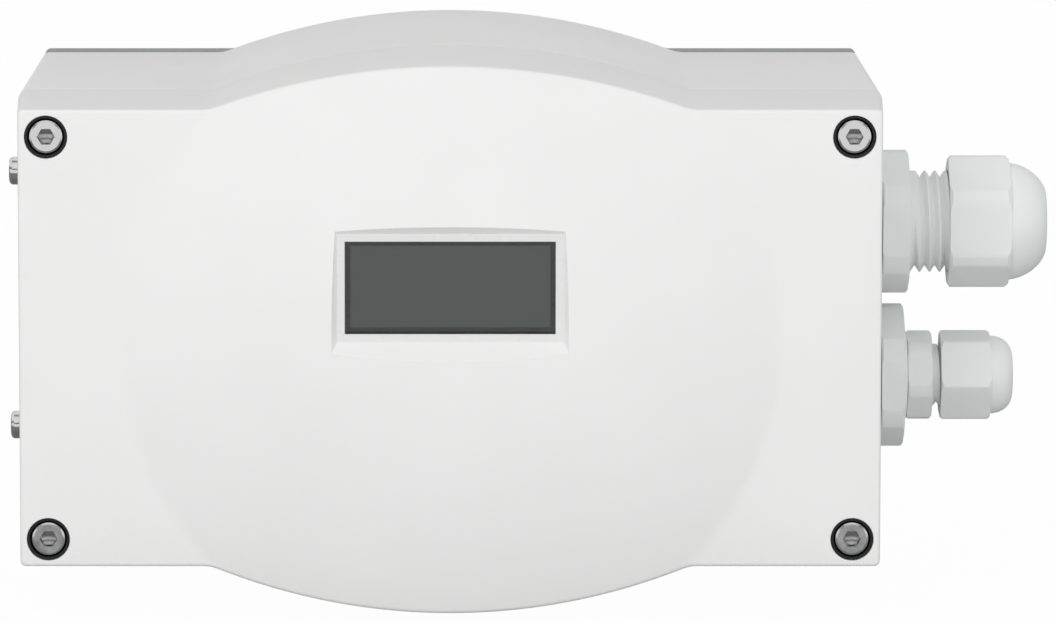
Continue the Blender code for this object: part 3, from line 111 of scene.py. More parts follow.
def span(node):
    """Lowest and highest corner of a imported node, in millimetres."""
    low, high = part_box(node)
    return low / MM, high / MM


def centre_of(node):
    low, high = span(node)
    return (low + high) / 2


def mm(value):
    return value / MM


def length(name, millimetres, description):
    """Property for a length, stored in metres."""
    return FloatProperty(name=name, description=description, default=millimetres * MM, subtype="DISTANCE")


def shade(name, grey, description, tint=(1.0, 1.0, 1.0)):
    """Property for a colour, given as a grey seen on screen and a tint."""
    level = (grey / 255.0) ** 2.2
    return FloatVectorProperty(
        name=name, description=description, default=[level * part for part in tint],
        size=3, min=0.0, max=1.0, subtype="COLOR",
    )


class CasingSettings(bpy.types.PropertyGroup):
    draft: length("Draft", 1.13, "How far the walls widen from the edges to the parting line")
    corner_radius: length("Corner radius", 1.1, "Radius of the four upright corners")
    bulge_radius: length("Bulge radius", 127.4, "Radius of the bulging top and bottom walls")
    bulge_rise: length("Bulge rise", 8.66, "Height of a bulge over the flats beside it")
    bulge_fillet: length("Bulge fillet", 8.0, "Radius where a bulge runs into the flats")
    edge_fillet: length("Edge fillet", 0.7, "Radius of the front edge")
    wall: length("Wall", 3.0, "Wall of both mouldings")
    dome_foot: length("Dome foot", 63.6, "Radius of the dome where it leaves the flat corners")
    dome_rise: length("Dome rise", 9.65, "Height of the dome")
    dome_blend: length("Dome blend", 0.35, "Softness of the line at the dome's foot")
    colour: shade("Colour", 238, "Colour of the moulded casing", (1.0, 1.0, 0.995))
    plate_colour: shade("Plate colour", 147, "Colour of the rear plate", (0.98, 1.0, 1.02))


class DisplaySettings(bpy.types.PropertyGroup):
    frame_margin: length("Frame margin", 1.5, "Width of the flat frame round the window")
    border: length("Border", 1.0, "Width of the dark border printed on the pane")
    lip: length("Lip", 0.35, "Thickness of the frame in front of the pane")
    colour: shade("Display colour", 79, "Colour of the blank display", (0.97, 1.0, 0.97))


class ScrewSettings(bpy.types.PropertyGroup):
    head_radius: length("Head radius", 3.35, "Radius of a cover screw's head")
    head_height: length("Head height", 4.0, "Height of a cover screw's head")
    shank_radius: length("Shank radius", 1.95, "Radius of a cover screw's thread")
    socket: length("Socket", 3.0, "Size of the hexagon socket across its flats")
    socket_depth: length("Socket depth", 2.2, "Depth of the hexagon socket")
    pitch: length("Pitch", 0.7, "Pitch of the cover screws' thread")
    colour: shade("Steel colour", 216, "Colour of the stainless steel")


class GlandSettings(bpy.types.PropertyGroup):
    turn: FloatProperty(name="Turn", description="Turn of the large hexagons about the gland's axis",
                        default=math.radians(29.3), subtype="ANGLE")
    pitch: length("Pitch", 2.0, "Pitch of the large gland's cap thread")
    thread_depth: length("Thread depth", 1.25, "Depth of the large gland's cap thread")
    colour: shade("Gland colour", 241, "Colour of the polyamide glands", (0.98, 1.0, 0.995))


class StageSettings(bpy.types.PropertyGroup):
    distance: length("Camera distance", 1526.0, "Distance from the box's front to the camera")
    height: length("Camera height", 221.0, "Height of the camera over the shaft")
    pitch: FloatProperty(name="Pitch", description="How far the camera looks down",
                         default=math.radians(8.04), subtype="ANGLE")
    world: FloatProperty(name="Surrounding light", description="Strength of the even light", default=0.665)
    key: FloatProperty(name="Key light", default=6.4, unit="POWER",
                       description="Power of the key lamp, which the two other lamps follow")


def deselect():
    if bpy.context.mode != "OBJECT":
        bpy.ops.object.mode_set(mode="OBJECT")
    bpy.ops.object.select_all(action="DESELECT")


def activate(piece):
    """Makes a piece the only selected one."""
    deselect()
    piece.select_set(True)
    bpy.context.view_layer.objects.active = piece


def named(name):
    """Names the primitive that was just added."""
    piece = bpy.context.active_object
    piece.name = name
    piece.data.name = name
    return piece


def settle(piece):
    """Moves a piece's place, turn and size into its mesh."""
    activate(piece)
    bpy.ops.object.transform_apply(location=True, rotation=True, scale=True)
    return piece


def laid(piece, axis, centre, turn=0.0):
    """Lays a shape that was drawn along Z onto an axis through a centre."""
    place = Matrix.Translation(Vector(centre) * MM)
    piece.matrix_world = place @ LAID[axis] @ Matrix.Rotation(turn, 4, "Z")
    return settle(piece)


def block(name, low, high):
    """Cube primitive between two corners."""
    deselect()
    low, high = Vector(low) * MM, Vector(high) * MM
    bpy.ops.mesh.primitive_cube_add(size=1.0, location=(low + high) / 2, scale=high - low)
    return settle(named(name))


def bar(name, axis, centre, radius, start, end, sides=MEDIUM, turn=0.0):
    """Round or prismatic bar along an axis."""
    deselect()
    bpy.ops.mesh.primitive_cylinder_add(vertices=sides, radius=radius * MM, depth=(end - start) * MM,
                                        location=(0, 0, (start + end) / 2 * MM))
    piece = settle(named(name))
    return laid(piece, axis, centre, turn)


def drawn(name, points):
    """Chain of edges, drawn by extruding one vertex from point to point. Leaves edit mode on."""
    deselect()
    bpy.ops.mesh.primitive_plane_add(size=MM)
    piece = named(name)
    bpy.ops.object.mode_set(mode="EDIT")
    bpy.ops.mesh.merge(type="CENTER")
    bpy.ops.transform.translate(value=Vector(points[0]) * MM)
    for first, second in zip(points, points[1:]):
        step = (Vector(second) - Vector(first)) * MM
        bpy.ops.mesh.extrude_vertices_move(TRANSFORM_OT_translate={"value": step})
    bpy.ops.mesh.select_all(action="SELECT")
    return piece


def tidied(piece):
    """Merges doubles, turns the faces outwards and leaves edit mode."""
    activate(piece)
    bpy.ops.object.mode_set(mode="EDIT")
    bpy.ops.mesh.select_all(action="SELECT")
    bpy.ops.mesh.remove_doubles(threshold=MERGE)
    bpy.ops.mesh.normals_make_consistent(inside=False)
    bpy.ops.object.mode_set(mode="OBJECT")
    return piece


def turned(name, axis, centre, profile, ring=False, steps=MEDIUM):
    """Spins a section of (radius, distance along the axis) points. A ring's section is closed."""
    points = [(radius, 0.0, along) for radius, along in profile]
    if ring:
        points.append(points[0])
    piece = drawn(name, points)
    bpy.ops.mesh.spin(steps=steps, angle=math.tau, center=(0, 0, 0), axis=(0, 0, 1))
    return laid(tidied(piece), axis, centre)


def apply_step(piece, kind, **settings):
    """Adds one modifier to a piece and applies it."""
    activate(piece)
    step = piece.modifiers.new(kind.lower(), kind)
    for key, value in settings.items():
        setattr(step, key, value)
    bpy.ops.object.modifier_apply(modifier=step.name)
    return piece


def carve(piece, tool, operation="DIFFERENCE"):
    """Cuts, joins or meets a piece with a tool, which is then removed."""
    apply_step(piece, "BOOLEAN", object=tool, operation=operation, solver="EXACT")
    bpy.data.objects.remove(tool)
    return piece


def join_on(piece, *others):
    """Makes one skin of a piece and others."""
    for other in others:
        carve(piece, other, "UNION")
    return piece


def gather(piece, *others):
    """Puts closed shells that run into each other into one piece, without cutting them."""
    activate(piece)
    for other in others:
        other.select_set(True)
    bpy.ops.object.join()
    return piece


def soften(piece, width, segments=2, angle=35.0):
    """Rounds the edges that turn by more than an angle."""
    return apply_step(piece, "BEVEL", width=width * MM, segments=segments, limit_method="ANGLE",
                      angle_limit=math.radians(angle), use_clamp_overlap=False)


def filled(piece):
    """Closes the open ends of a shell with faces."""
    activate(piece)
    bpy.ops.object.mode_set(mode="EDIT")
    bpy.ops.mesh.select_all(action="DESELECT")
    bpy.ops.mesh.select_mode(type="EDGE")
    bpy.ops.mesh.select_non_manifold(extend=False)
    bpy.ops.mesh.edge_face_add()
    bpy.ops.mesh.select_mode(type="VERT")
    return tidied(piece)


def helix(name, axis, centre, section, pitch, turns, steps=MEDIUM, turn=0.0, run_out=0.0, lift=0.0):
    """Closed section swept along a screw line, with its ends filled.

    A run-out is the part of a turn over which the start comes down from its lift.
    """
    points = [(radius, 0.0, along) for radius, along in section]
    piece = drawn(name, points + points[:1])
    bpy.ops.mesh.remove_doubles(threshold=MERGE)
    bpy.ops.object.mode_set(mode="OBJECT")
    apply_step(piece, "SCREW", axis="Z", steps=steps, render_steps=steps, iterations=turns,
               screw_offset=pitch * MM, angle=math.tau, use_merge_vertices=False)
    if run_out:
        for index, vertex in enumerate(piece.data.vertices):
            share = (index // len(section)) / (run_out * steps)
            away = Vector((vertex.co.x, vertex.co.y, 0.0)).normalized()
            vertex.co += away * max(1 - share, 0.0) * lift * MM
    return laid(filled(piece), axis, centre, turn)


def numbered(piece, number, shift):
    """The first piece itself as number 1, or else a shifted copy with its own number."""
    if number == 1:
        return piece
    activate(piece)
    bpy.ops.object.duplicate(linked=False)
    twin = named(f"{piece.name[:-1]}{number}")
    twin.location = Vector(shift) * MM
    return settle(twin)


def smooth(piece, angle=32.0):
    activate(piece)
    bpy.ops.object.shade_smooth_by_angle(angle=math.radians(angle))
    return piece


def dress(piece, key, body, slot, *nodes):
    """Gives a finished piece its material and its body, and hides the nodes that it stands for. The slot is
    not used.
    """
    piece.data.materials.clear()
    piece.data.materials.append(finish(key))
    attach(piece, body)
    if nodes:
        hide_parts(*nodes)
    return piece


def paint_shade_in_hollow(piece, axis, centre, radius, start, end):
    """Gives the faces inside a socket a darker finish of their own: painted shade of the hollow."""
    along = "XYZ".index(axis)
    piece.data.materials.append(finish("socket"))
    for face in piece.data.polygons:
        place = face.center / MM - Vector(centre)
        depth = place[along]
        place[along] = 0.0
        if place.length < radius and start < depth < end:
            face.material_index = 1


class Nodes:
    """Short way to build a material's or the world's nodes."""

    def __init__(self, block, shader="Principled BSDF", place="Object"):
        self.block = block
        block.use_nodes = True
        self.tree = block.node_tree
        self.shader = self.tree.nodes[shader]
        self.place = self.add("ShaderNodeTexCoord").outputs[place]

    def add(self, kind, values=(), **settings):
        """New node with its settings, and with the values of its inputs by their names."""
        node = self.tree.nodes.new(kind)
        for key, value in settings.items():
            setattr(node, key, value)
        for key, value in dict(values).items():
            node.inputs[key].default_value = value
        return node

    def link(self, source, target):
        """Links an output to an input, or gives the input a plain value."""
        if isinstance(source, bpy.types.NodeSocket):
            self.tree.links.new(source, target)
        else:
            target.default_value = source

    def feed(self, colour, roughness, relief, metallic=0.0, specular=0.5):
        """Fills the surface shader's inputs and returns the material."""
        sources = {"Base Color": colour, "Roughness": roughness, "Normal": relief,
                   "Metallic": metallic, "Specular IOR Level": specular}
        for key, source in sources.items():
            self.link(source, self.shader.inputs[key])
        return self.block

    def noise(self, scale, detail=3.0, stretch=(1.0, 1.0, 1.0)):
        mapping = self.add("ShaderNodeMapping", {"Scale": stretch})
        self.link(self.place, mapping.inputs["Vector"])
        noise = self.add("ShaderNodeTexNoise", {"Scale": scale, "Detail": detail})
        self.link(mapping.outputs["Vector"], noise.inputs["Vector"])
        return noise.outputs["Fac"]

    def uneven(self, source, colour, low, high):
        """Colour that the source scales between two factors."""
        ramp = self.add("ShaderNodeValToRGB")
        for element, position, factor in zip(ramp.color_ramp.elements, SOURCE_RANGE, (low, high)):
            element.position = position
            element.color = (*scaled(colour, factor), 1.0)
        self.link(source, ramp.inputs["Fac"])
        return ramp.outputs["Color"]

    def spread(self, source, low, high):
        """Number that runs from low to high with the source."""
        start, end = SOURCE_RANGE
        spread = self.add("ShaderNodeMapRange", {
            "From Min": start, "From Max": end, "To Min": low, "To Max": high})
        self.link(source, spread.inputs["Value"])
        return spread.outputs["Result"]

    def bump(self, source, height, below=None):
        bump = self.add("ShaderNodeBump", {"Distance": height * MM, "Strength": 1.0})
        self.link(source, bump.inputs["Height"])
        if below is not None:
            self.link(below, bump.inputs["Normal"])
        return bump.outputs["Normal"]

    def choice(self, share, first, second):
        """Mixes two colours, each given as a value or an output."""
        mix = self.add("ShaderNodeMix", data_type="RGBA")
        for key, source in (("Factor", share), (6, first), (7, second)):
            self.link(source, mix.inputs[key])
        return mix.outputs[2]

    def show(self, share, first, second):
        """Puts a mix of two surfaces on the material."""
        mix = self.add("ShaderNodeMixShader")
        for source, target in zip((share, first, second), mix.inputs):
            self.link(source, target)
        self.link(mix.outputs["Shader"], self.tree.nodes["Material Output"].inputs["Surface"])


def scaled(colour, factor):
    return [min(1.0, part * factor) for part in colour]


def fresh(name):
    return Nodes(bpy.data.materials.new(name))


def moulded(name, colour, roughness=0.42, grain=0.008, cloud=0.012, gloss=0.42):
    """Moulded plastic: eroded fine grain, faint flow clouds and slightly uneven gloss."""
    made = fresh(name)
    clouds = made.noise(38.0, 2.0)
    coarse = made.bump(made.noise(2600.0, 2.0), grain)
    return made.feed(
        made.uneven(clouds, colour, 1 - cloud, 1 + cloud),
        made.spread(made.noise(900.0, 2.0), roughness - 0.05, roughness + 0.06),
        made.bump(made.noise(9000.0, 1.0), grain / 3, below=coarse), specular=gloss)


def turned_steel(name, colour, axis, roughness=0.24, groove=0.006):
    """Turned steel: fine tool rings along the axis, and a few stains in its gloss."""
    made = fresh(name)
    rings = made.noise(5200.0, 2.0, [1.0 if letter == axis else 0.04 for letter in "XYZ"])
    stains = made.noise(420.0, 3.0)
    return made.feed(
        made.uneven(stains, colour, 0.92, 1.04),
        made.spread(stains, roughness - 0.05, roughness + 0.08),
        made.bump(rings, groove), metallic=1.0)


def cast_metal(name, colour, metallic=1.0, roughness=0.45, grain=0.02):
    """Blasted or coated metal: a close grain that also changes the gloss."""
    made = fresh(name)
    grit = made.noise(1700.0, 4.0)
    return made.feed(
        made.uneven(made.noise(60.0, 3.0), colour, 0.94, 1.05),
        made.spread(grit, roughness - 0.08, roughness + 0.1),
        made.bump(grit, grain), metallic=metallic)


def rubber(name, grey=0.016):
    """Black rubber with a bloom of lighter dust."""
    made = fresh(name)
    dust = made.noise(300.0, 5.0)
    return made.feed(
        made.uneven(dust, (grey,) * 3, 1.0, 1.9), made.spread(dust, 0.62, 0.82),
        made.bump(made.noise(2400.0, 3.0), 0.01), specular=0.3)


def solder_mask(name, colour=(0.012, 0.1, 0.035)):
    """Circuit board: lacquer over raised tracks."""
    made = fresh(name)
    tracks = made.add("ShaderNodeTexBrick", {
        "Scale": 190.0, "Mortar Size": 0.012, "Color1": (*colour, 1.0),
        "Color2": (*scaled(colour, 1.25), 1.0), "Mortar": (*scaled(colour, 1.9), 1.0),
    })
    turn = made.add("ShaderNodeMapping", {"Rotation": (math.pi / 2, 0.0, 0.0)})
    made.link(made.place, turn.inputs["Vector"])
    made.link(turn.outputs["Vector"], tracks.inputs["Vector"])
    return made.feed(tracks.outputs["Color"], made.spread(made.noise(500.0), 0.22, 0.36),
                     made.bump(tracks.outputs["Fac"], 0.03))


def clear_glass(name):
    """Clear pane: light goes straight through, and a thin share is mirrored with faint waves and dust."""
    made = fresh(name)
    made.feed((0.97, 0.98, 0.98, 1.0), made.spread(made.noise(240.0), 0.03, 0.07),
              made.bump(made.noise(30.0, 1.0), 0.004), metallic=1.0)
    clear = made.add("ShaderNodeBsdfTransparent", {"Color": (0.95, 0.96, 0.955, 1.0)})
    edge = made.add("ShaderNodeFresnel", {"IOR": 1.45})
    made.show(edge.outputs["Fac"], clear.outputs["BSDF"], made.shader.outputs["BSDF"])
    return made.block


def blank_display(name, colour):
    """Blank reflective display: a grey field with a faint raster of cells."""
    made = fresh(name)
    cells = made.add("ShaderNodeTexVoronoi", {"Scale": 1400.0, "Randomness": 0.0}, feature="F1")
    made.link(made.place, cells.inputs["Vector"])
    return made.feed(
        made.uneven(cells.outputs["Distance"], colour, 1.0, 0.99), made.spread(made.noise(90.0), 0.5, 0.6),
        made.bump(made.noise(1200.0), 0.0002), specular=0.2)


FINISHES = {}


def finish(key):
    """Material by its key, made on first use from the scene's settings."""
    if key not in FINISHES:
        scene = bpy.context.scene
        casing, steel = scene.positioner_casing, scene.positioner_screws.colour
        maker, *values = {
            "casing": (moulded, "casing_plastic", casing.colour),
            # The frame round the window is a glossier, finer-grained plastic; its tenth darker colour is
            # painted shade of the recess.
            "frame": (moulded, "frame_plastic", scaled(casing.colour, 0.9), 0.3, 0.003),
            "gland": (moulded, "gland_plastic", scene.positioner_glands.colour, 0.4, 0.006, 0.02),
            "plate": (cast_metal, "plate_coating", casing.plate_colour, 0.0, 0.5, 0.012),
            "steel_y": (turned_steel, "steel_along_y", steel, "Y", 0.2, 0.002),
            "steel_x": (turned_steel, "steel_along_x", steel, "X", 0.12, 0.002),
            # Socket walls: the screws' steel at six tenths of its colour, as painted shade inside the hollow,
            # with a finer grain.
            "socket": (cast_metal, "socket_walls", scaled(steel, 0.6), 1.0, 0.22, 0.003),
            "aluminium": (cast_metal, "blasted_aluminium", (0.52, 0.52, 0.53)),
            "brass": (turned_steel, "turned_brass", (0.62, 0.42, 0.16), "Y", 0.28),
            "bronze": (cast_metal, "sintered_bronze", (0.4, 0.24, 0.1), 1.0, 0.42, 0.015),
            "rubber": (rubber, "black_rubber"),
            "cup": (moulded, "black_nylon", (0.011, 0.013, 0.013), 0.5, 0.01, 0.2),
            "dark": (moulded, "dark_plastic", (0.022, 0.022, 0.024), 0.4, 0.012, 0.2),
            "print": (moulded, "printed_border", (0.005, 0.005, 0.005), 0.7, 0.002, 0.2, 0.05),
            "acetal": (moulded, "acetal", (0.62, 0.62, 0.6), 0.35, 0.006, 0.02),
            "button": (moulded, "button_plastic", (0.3, 0.31, 0.32), 0.4, 0.01, 0.03),
            "terminal": (moulded, "terminal_plastic", (0.1, 0.3, 0.16), 0.42, 0.01, 0.05),
            "red": (moulded, "switch_red", (0.4, 0.022, 0.016), 0.38, 0.008, 0.05),
            "board": (solder_mask, "solder_mask"),
            "glass": (clear_glass, "window_pane"),
            "display": (blank_display, "blank_display", scene.positioner_display.colour),
            "tin": (cast_metal, "tinned_metal", (0.6, 0.6, 0.6), 1.0, 0.32, 0.008),
        }[key]
        FINISHES[key] = maker(*values)
    return FINISHES[key]


def outline(cfg, grow, arc=44, corner=6, fillet=8, side=10, flat=8):
    """Closed outline of the box as (x, z) points, grown outwards by a number of millimetres."""
    extent = span("housing")[1]
    w = extent.x - mm(cfg.draft) + grow
    h = extent.z - mm(cfg.draft) - mm(cfg.bulge_rise) + grow
    corner_r = max(mm(cfg.corner_radius) + grow, 0.4)
    centre_z = h - grow + mm(cfg.bulge_rise) - mm(cfg.bulge_radius)
    arc_r = mm(cfg.bulge_radius) + grow
    fillet_r = mm(cfg.bulge_fillet) - grow
    lift = h + fillet_r - centre_z
    fillet_x = math.sqrt((arc_r + fillet_r) ** 2 - lift ** 2)
    meet = math.atan2(lift, fillet_x)
    right = [(w, (h - corner_r) * i / side) for i in range(side)]
    for i in range(corner + 1):
        angle = math.pi / 2 * i / corner
        right.append((w - corner_r + corner_r * math.cos(angle), h - corner_r + corner_r * math.sin(angle)))
    right += [(w - corner_r + (fillet_x - w + corner_r) * i / flat, h) for i in range(1, flat)]
    for i in range(fillet + 1):
        angle = -math.pi / 2 - (math.pi / 2 - meet) * i / fillet
        right.append((fillet_x + fillet_r * math.cos(angle), h + fillet_r + fillet_r * math.sin(angle)))
    top = []
    for i in range(1, arc):
        angle = meet + (math.pi - 2 * meet) * i / arc
        top.append((arc_r * math.cos(angle), centre_z + arc_r * math.sin(angle)))
    upper = right + top + [(-x, z) for x, z in reversed(right[1:])]
    return upper + [(-x, -z) for x, z in upper]


def dome_height(cfg, x, z):
    """Height of the cover's front over its flat corners."""
    foot, rise, blend = mm(cfg.dome_foot), mm(cfg.dome_rise), mm(cfg.dome_blend)
    radius = (foot ** 2 + rise ** 2) / (2 * rise)
    cap = math.sqrt(radius ** 2 - x ** 2 - z ** 2) - (radius - rise)
    soft = max(blend - abs(cap), 0.0)
    return max(cap, 0.0) + soft ** 2 / (4 * blend)


def skin(name, rows, loop=True):
    """Shell through rows of points. A row of one point is a pole."""
    shell = bmesh.new()
    made = [[shell.verts.new(Vector(point) * MM) for point in row] for row in rows]
    pairs = list(zip(made, made[1:]))
    if loop:
        pairs.append((made[-1], made[0]))
    for first, second in pairs:
        count = max(len(first), len(second))
        for i in range(count):
            j = (i + 1) % count
            corners = [first[i % len(first)], first[j % len(first)],
                       second[j % len(second)], second[i % len(second)]]
            shell.faces.new([v for k, v in enumerate(corners) if v not in corners[:k]])
    mesh = bpy.data.meshes.new(name)
    shell.to_mesh(mesh)
    shell.free()
    piece = bpy.data.objects.new(name, mesh)
    bpy.context.scene.collection.objects.link(piece)
    return tidied(piece)


def level(points, y):
    return [(x, y, z) for x, z in points]


def over_dome(cfg, y_face, x, z):
    """Point of the cover's front skin over a place on its corners' plane."""
    return x, y_face - dome_height(cfg, x, z), z


def domed_rows(cfg, points, y_face, ratios):
    """Rows from a front outline to the centre, round inside the dome's foot."""
    foot = mm(cfg.dome_foot) + 3 * mm(cfg.dome_blend)
    rows = []
    for ratio in ratios:
        row = []
        for x, z in points:
            reach = math.hypot(x, z)
            scale = min(reach, foot) / reach * ratio
            row.append(over_dome(cfg, y_face, x * scale, z * scale))
        rows.append(row)
    return rows + [[over_dome(cfg, y_face, 0.0, 0.0)]]


def parting_rows(cfg, y_part, inward):
    """Rows round a moulding's slightly rounded edge at the parting line."""
    return [level(outline(cfg, mm(cfg.draft) - inset), y_part + inward * depth)
            for inset, depth in ((0.3, 0.0), (0.06, 0.1), (0.02, 0.35))]


def filleted_rows(cfg, y_face, edge, steps=8):
    """Rows round the front edge, which follows the dome's height."""
    rows = []
    for i in range(steps + 1):
        angle = math.pi / 2 * i / steps
        row = []
        for x, z in outline(cfg, -edge * (1 - math.cos(angle))):
            row.append((x, y_face - dome_height(cfg, x, z) + edge * (1 - math.sin(angle)), z))
        rows.append(row)
    return rows


def screw_centres():
    """Axes of the four cover screws as (x, z)."""
    return [(centre_of(f"cover_screw_{k}").x, centre_of(f"cover_screw_{k}").z) for k in range(1, 5)]


def cover_planes(cfg):
    """Depths of the cover's front corners and of its parting edge."""
    low, high = span("cover")
    return low.y + mm(cfg.dome_rise), high.y


def window_block(name, grow, front, back):
    """Block round the display's opening, whose size follows from the pane's."""
    low, high = span("window_glass")
    lift = Vector((grow - REBATE, 0, grow - REBATE))
    low, high = low - lift, high + lift
    return block(name, (low.x, front, low.z), (high.x, back, high.z))


def recess_tool(display, y_frame):
    """Hollow in front of the display: three steep walls and a gentler bottom one."""
    reach = 6.0
    side_lean, top_lean, bottom_lean = 0.65, 0.93, 1 / math.tan(math.radians(38.5))
    tool = window_block("recess_tool", mm(display.frame_margin), y_frame - reach, y_frame)
    middle = centre_of("window_glass").z
    for vertex in tool.data.vertices:
        if vertex.co.y < (y_frame - reach / 2) * MM:
            lean = top_lean if vertex.co.z > middle * MM else -bottom_lean
            vertex.co.x += math.copysign(reach * side_lean, vertex.co.x) * MM
            vertex.co.z += reach * lean * MM
    return tool


def sink_profile(screws, y_face, y_part, number):
    """Hole for a cover screw and its cup washer, a little wider at its mouth."""
    low, high = span(f"screw_washer_{number}")
    bore = (high.x - low.x) / 2 + SLIP / 2
    floor = high.y + SLIP
    shank = mm(screws.shank_radius) + SEAT
    return [(0, y_face - 6), (bore + 0.1, y_face - 6), (bore + 0.1, y_face), (bore, y_face + 0.1),
            (bore, floor), (shank, floor), (shank, y_part + PROUD), (0, y_part + PROUD)]


class POSITIONER_OT_cover(bpy.types.Operator):
    """Model the domed cover with its display recess, screw sinks, bosses and ribs"""

    bl_idname = "positioner.cover"
    bl_label = "Cover"

    def execute(self, context):
        cfg = context.scene.positioner_casing
        display = context.scene.positioner_display
        wall = mm(cfg.wall)
        y_face, y_part = cover_planes(cfg)
        y_frame = span("window_glass")[0].y - mm(display.lip) - 0.05
        y_pad = span("display_module")[0].y - SEAT
        cover = self.shell(cfg, y_face, y_part)
        join_on(cover, window_block("pad", 3.0, y_frame + mm(display.lip), y_pad))
        for x, z in screw_centres():
            join_on(cover, bar("boss", "Y", (x, 0, z), BOSS_RADIUS, y_face + wall / 2, y_part, SMALL))
        self.ribs(cfg, cover, y_face)
        carve(cover, recess_tool(display, y_frame))
        carve(cover, window_block("opening", 0.0, y_frame - 2, y_pad + 1))
        carve(cover, window_block("rebate", 1.0, y_frame + mm(display.lip), y_pad + 1))
        for number, (x, z) in enumerate(screw_centres(), 1):
            profile = sink_profile(context.scene.positioner_screws, y_face, y_part, number)
            carve(cover, turned("sink", "Y", (x, 0, z), profile))
        dress(smooth(cover), "casing", "cover", "casing_plastic", "cover")
        self.polish_frame(cover, display, y_frame)
        return {"FINISHED"}

    def shell(self, cfg, y_face, y_part):
        """Skin from the middle of the dome over the parting edge to the middle of the inside."""
        wall, edge = mm(cfg.wall), mm(cfg.edge_fillet)
        near_edge = [0.998 - 0.012 * i for i in range(7)]
        steps = 22
        ratios = near_edge + [near_edge[-1] * (1 - i / steps) for i in range(1, steps)]
        outer = parting_rows(cfg, y_part, -1) + filleted_rows(cfg, y_face, edge)
        outer += domed_rows(cfg, outline(cfg, -edge), y_face, ratios)
        inside = outline(cfg, -wall)
        inner = [level(outline(cfg, mm(cfg.draft) - wall), y_part)]
        inner.append([over_dome(cfg, y_face + wall, x, z) for x, z in inside])
        inner += domed_rows(cfg, inside, y_face + wall, (0.99, 0.96, 0.93, 0.88, 0.7, 0.5, 0.25))
        return skin("domed_cover", outer[::-1] + inner, loop=False)

    def ribs(self, cfg, cover, y_face):
        """Four ribs inside the flat ends, between the side walls and the dome."""
        wall, thickness, depth = mm(cfg.wall), 1.6, 5.0
        wall_end = span("housing")[1].x - 2 * mm(cfg.draft) - wall / 2
        dome_end = mm(cfg.dome_foot) + 3
        for side, z in product((-1, 1), (-18.0, 18.0)):
            ends = sorted((side * wall_end, side * dome_end))
            low = (ends[0], y_face + wall / 2, z - thickness / 2)
            join_on(cover, block("rib", low, (ends[1], y_face + wall + depth, z + thickness / 2)))

    def polish_frame(self, cover, display, y_frame):
        """Gives the flat frame round the window its glossier finish, whose colour is a tenth darker than the
        casing as painted shade of the recess.
        """
        cover.data.materials.append(finish("frame"))
        pane = centre_of("window_glass")
        reach = span("window_glass")[1].x + mm(display.frame_margin)
        for face in cover.data.polygons:
            place = face.center / MM
            on_frame = abs(place.x) < reach and abs(place.z - pane.z) < reach / 2
            if on_frame and abs(place.y - y_frame) < 0.01 and face.normal.y < -0.99:
                face.material_index = 1


class POSITIONER_OT_window(bpy.types.Operator):
    """Model the pane, its printed border and the blank display behind it"""

    bl_idname = "positioner.window"
    bl_label = "Window"

    def execute(self, context):
        display = context.scene.positioner_display
        low, high = span("window_glass")
        pane = soften(block("window_pane", low, high), 0.15)
        dress(pane, "glass", "cover", "display_glass", "window_glass")
        back = high.y + 0.02
        mask = self.inset("window_border", 0.2, back, back + 0.12)
        carve(mask, self.inset("hole", REBATE + mm(display.border), back - 1, back + 1))
        dress(mask, "print", "cover", "dark_plastic")
        sheet = self.inset("display_sheet", 0.9, back + 0.4, span("display_module")[0].y + 0.55)
        dress(soften(sheet, 0.08), "display", "casing", "display_glass")
        return {"FINISHED"}

    def inset(self, name, margin, front, back):
        """Block behind the pane, smaller than it by a margin all round."""
        low, high = span("window_glass")
        return block(name, (low.x + margin, front, low.z + margin), (high.x - margin, back, high.z - margin))


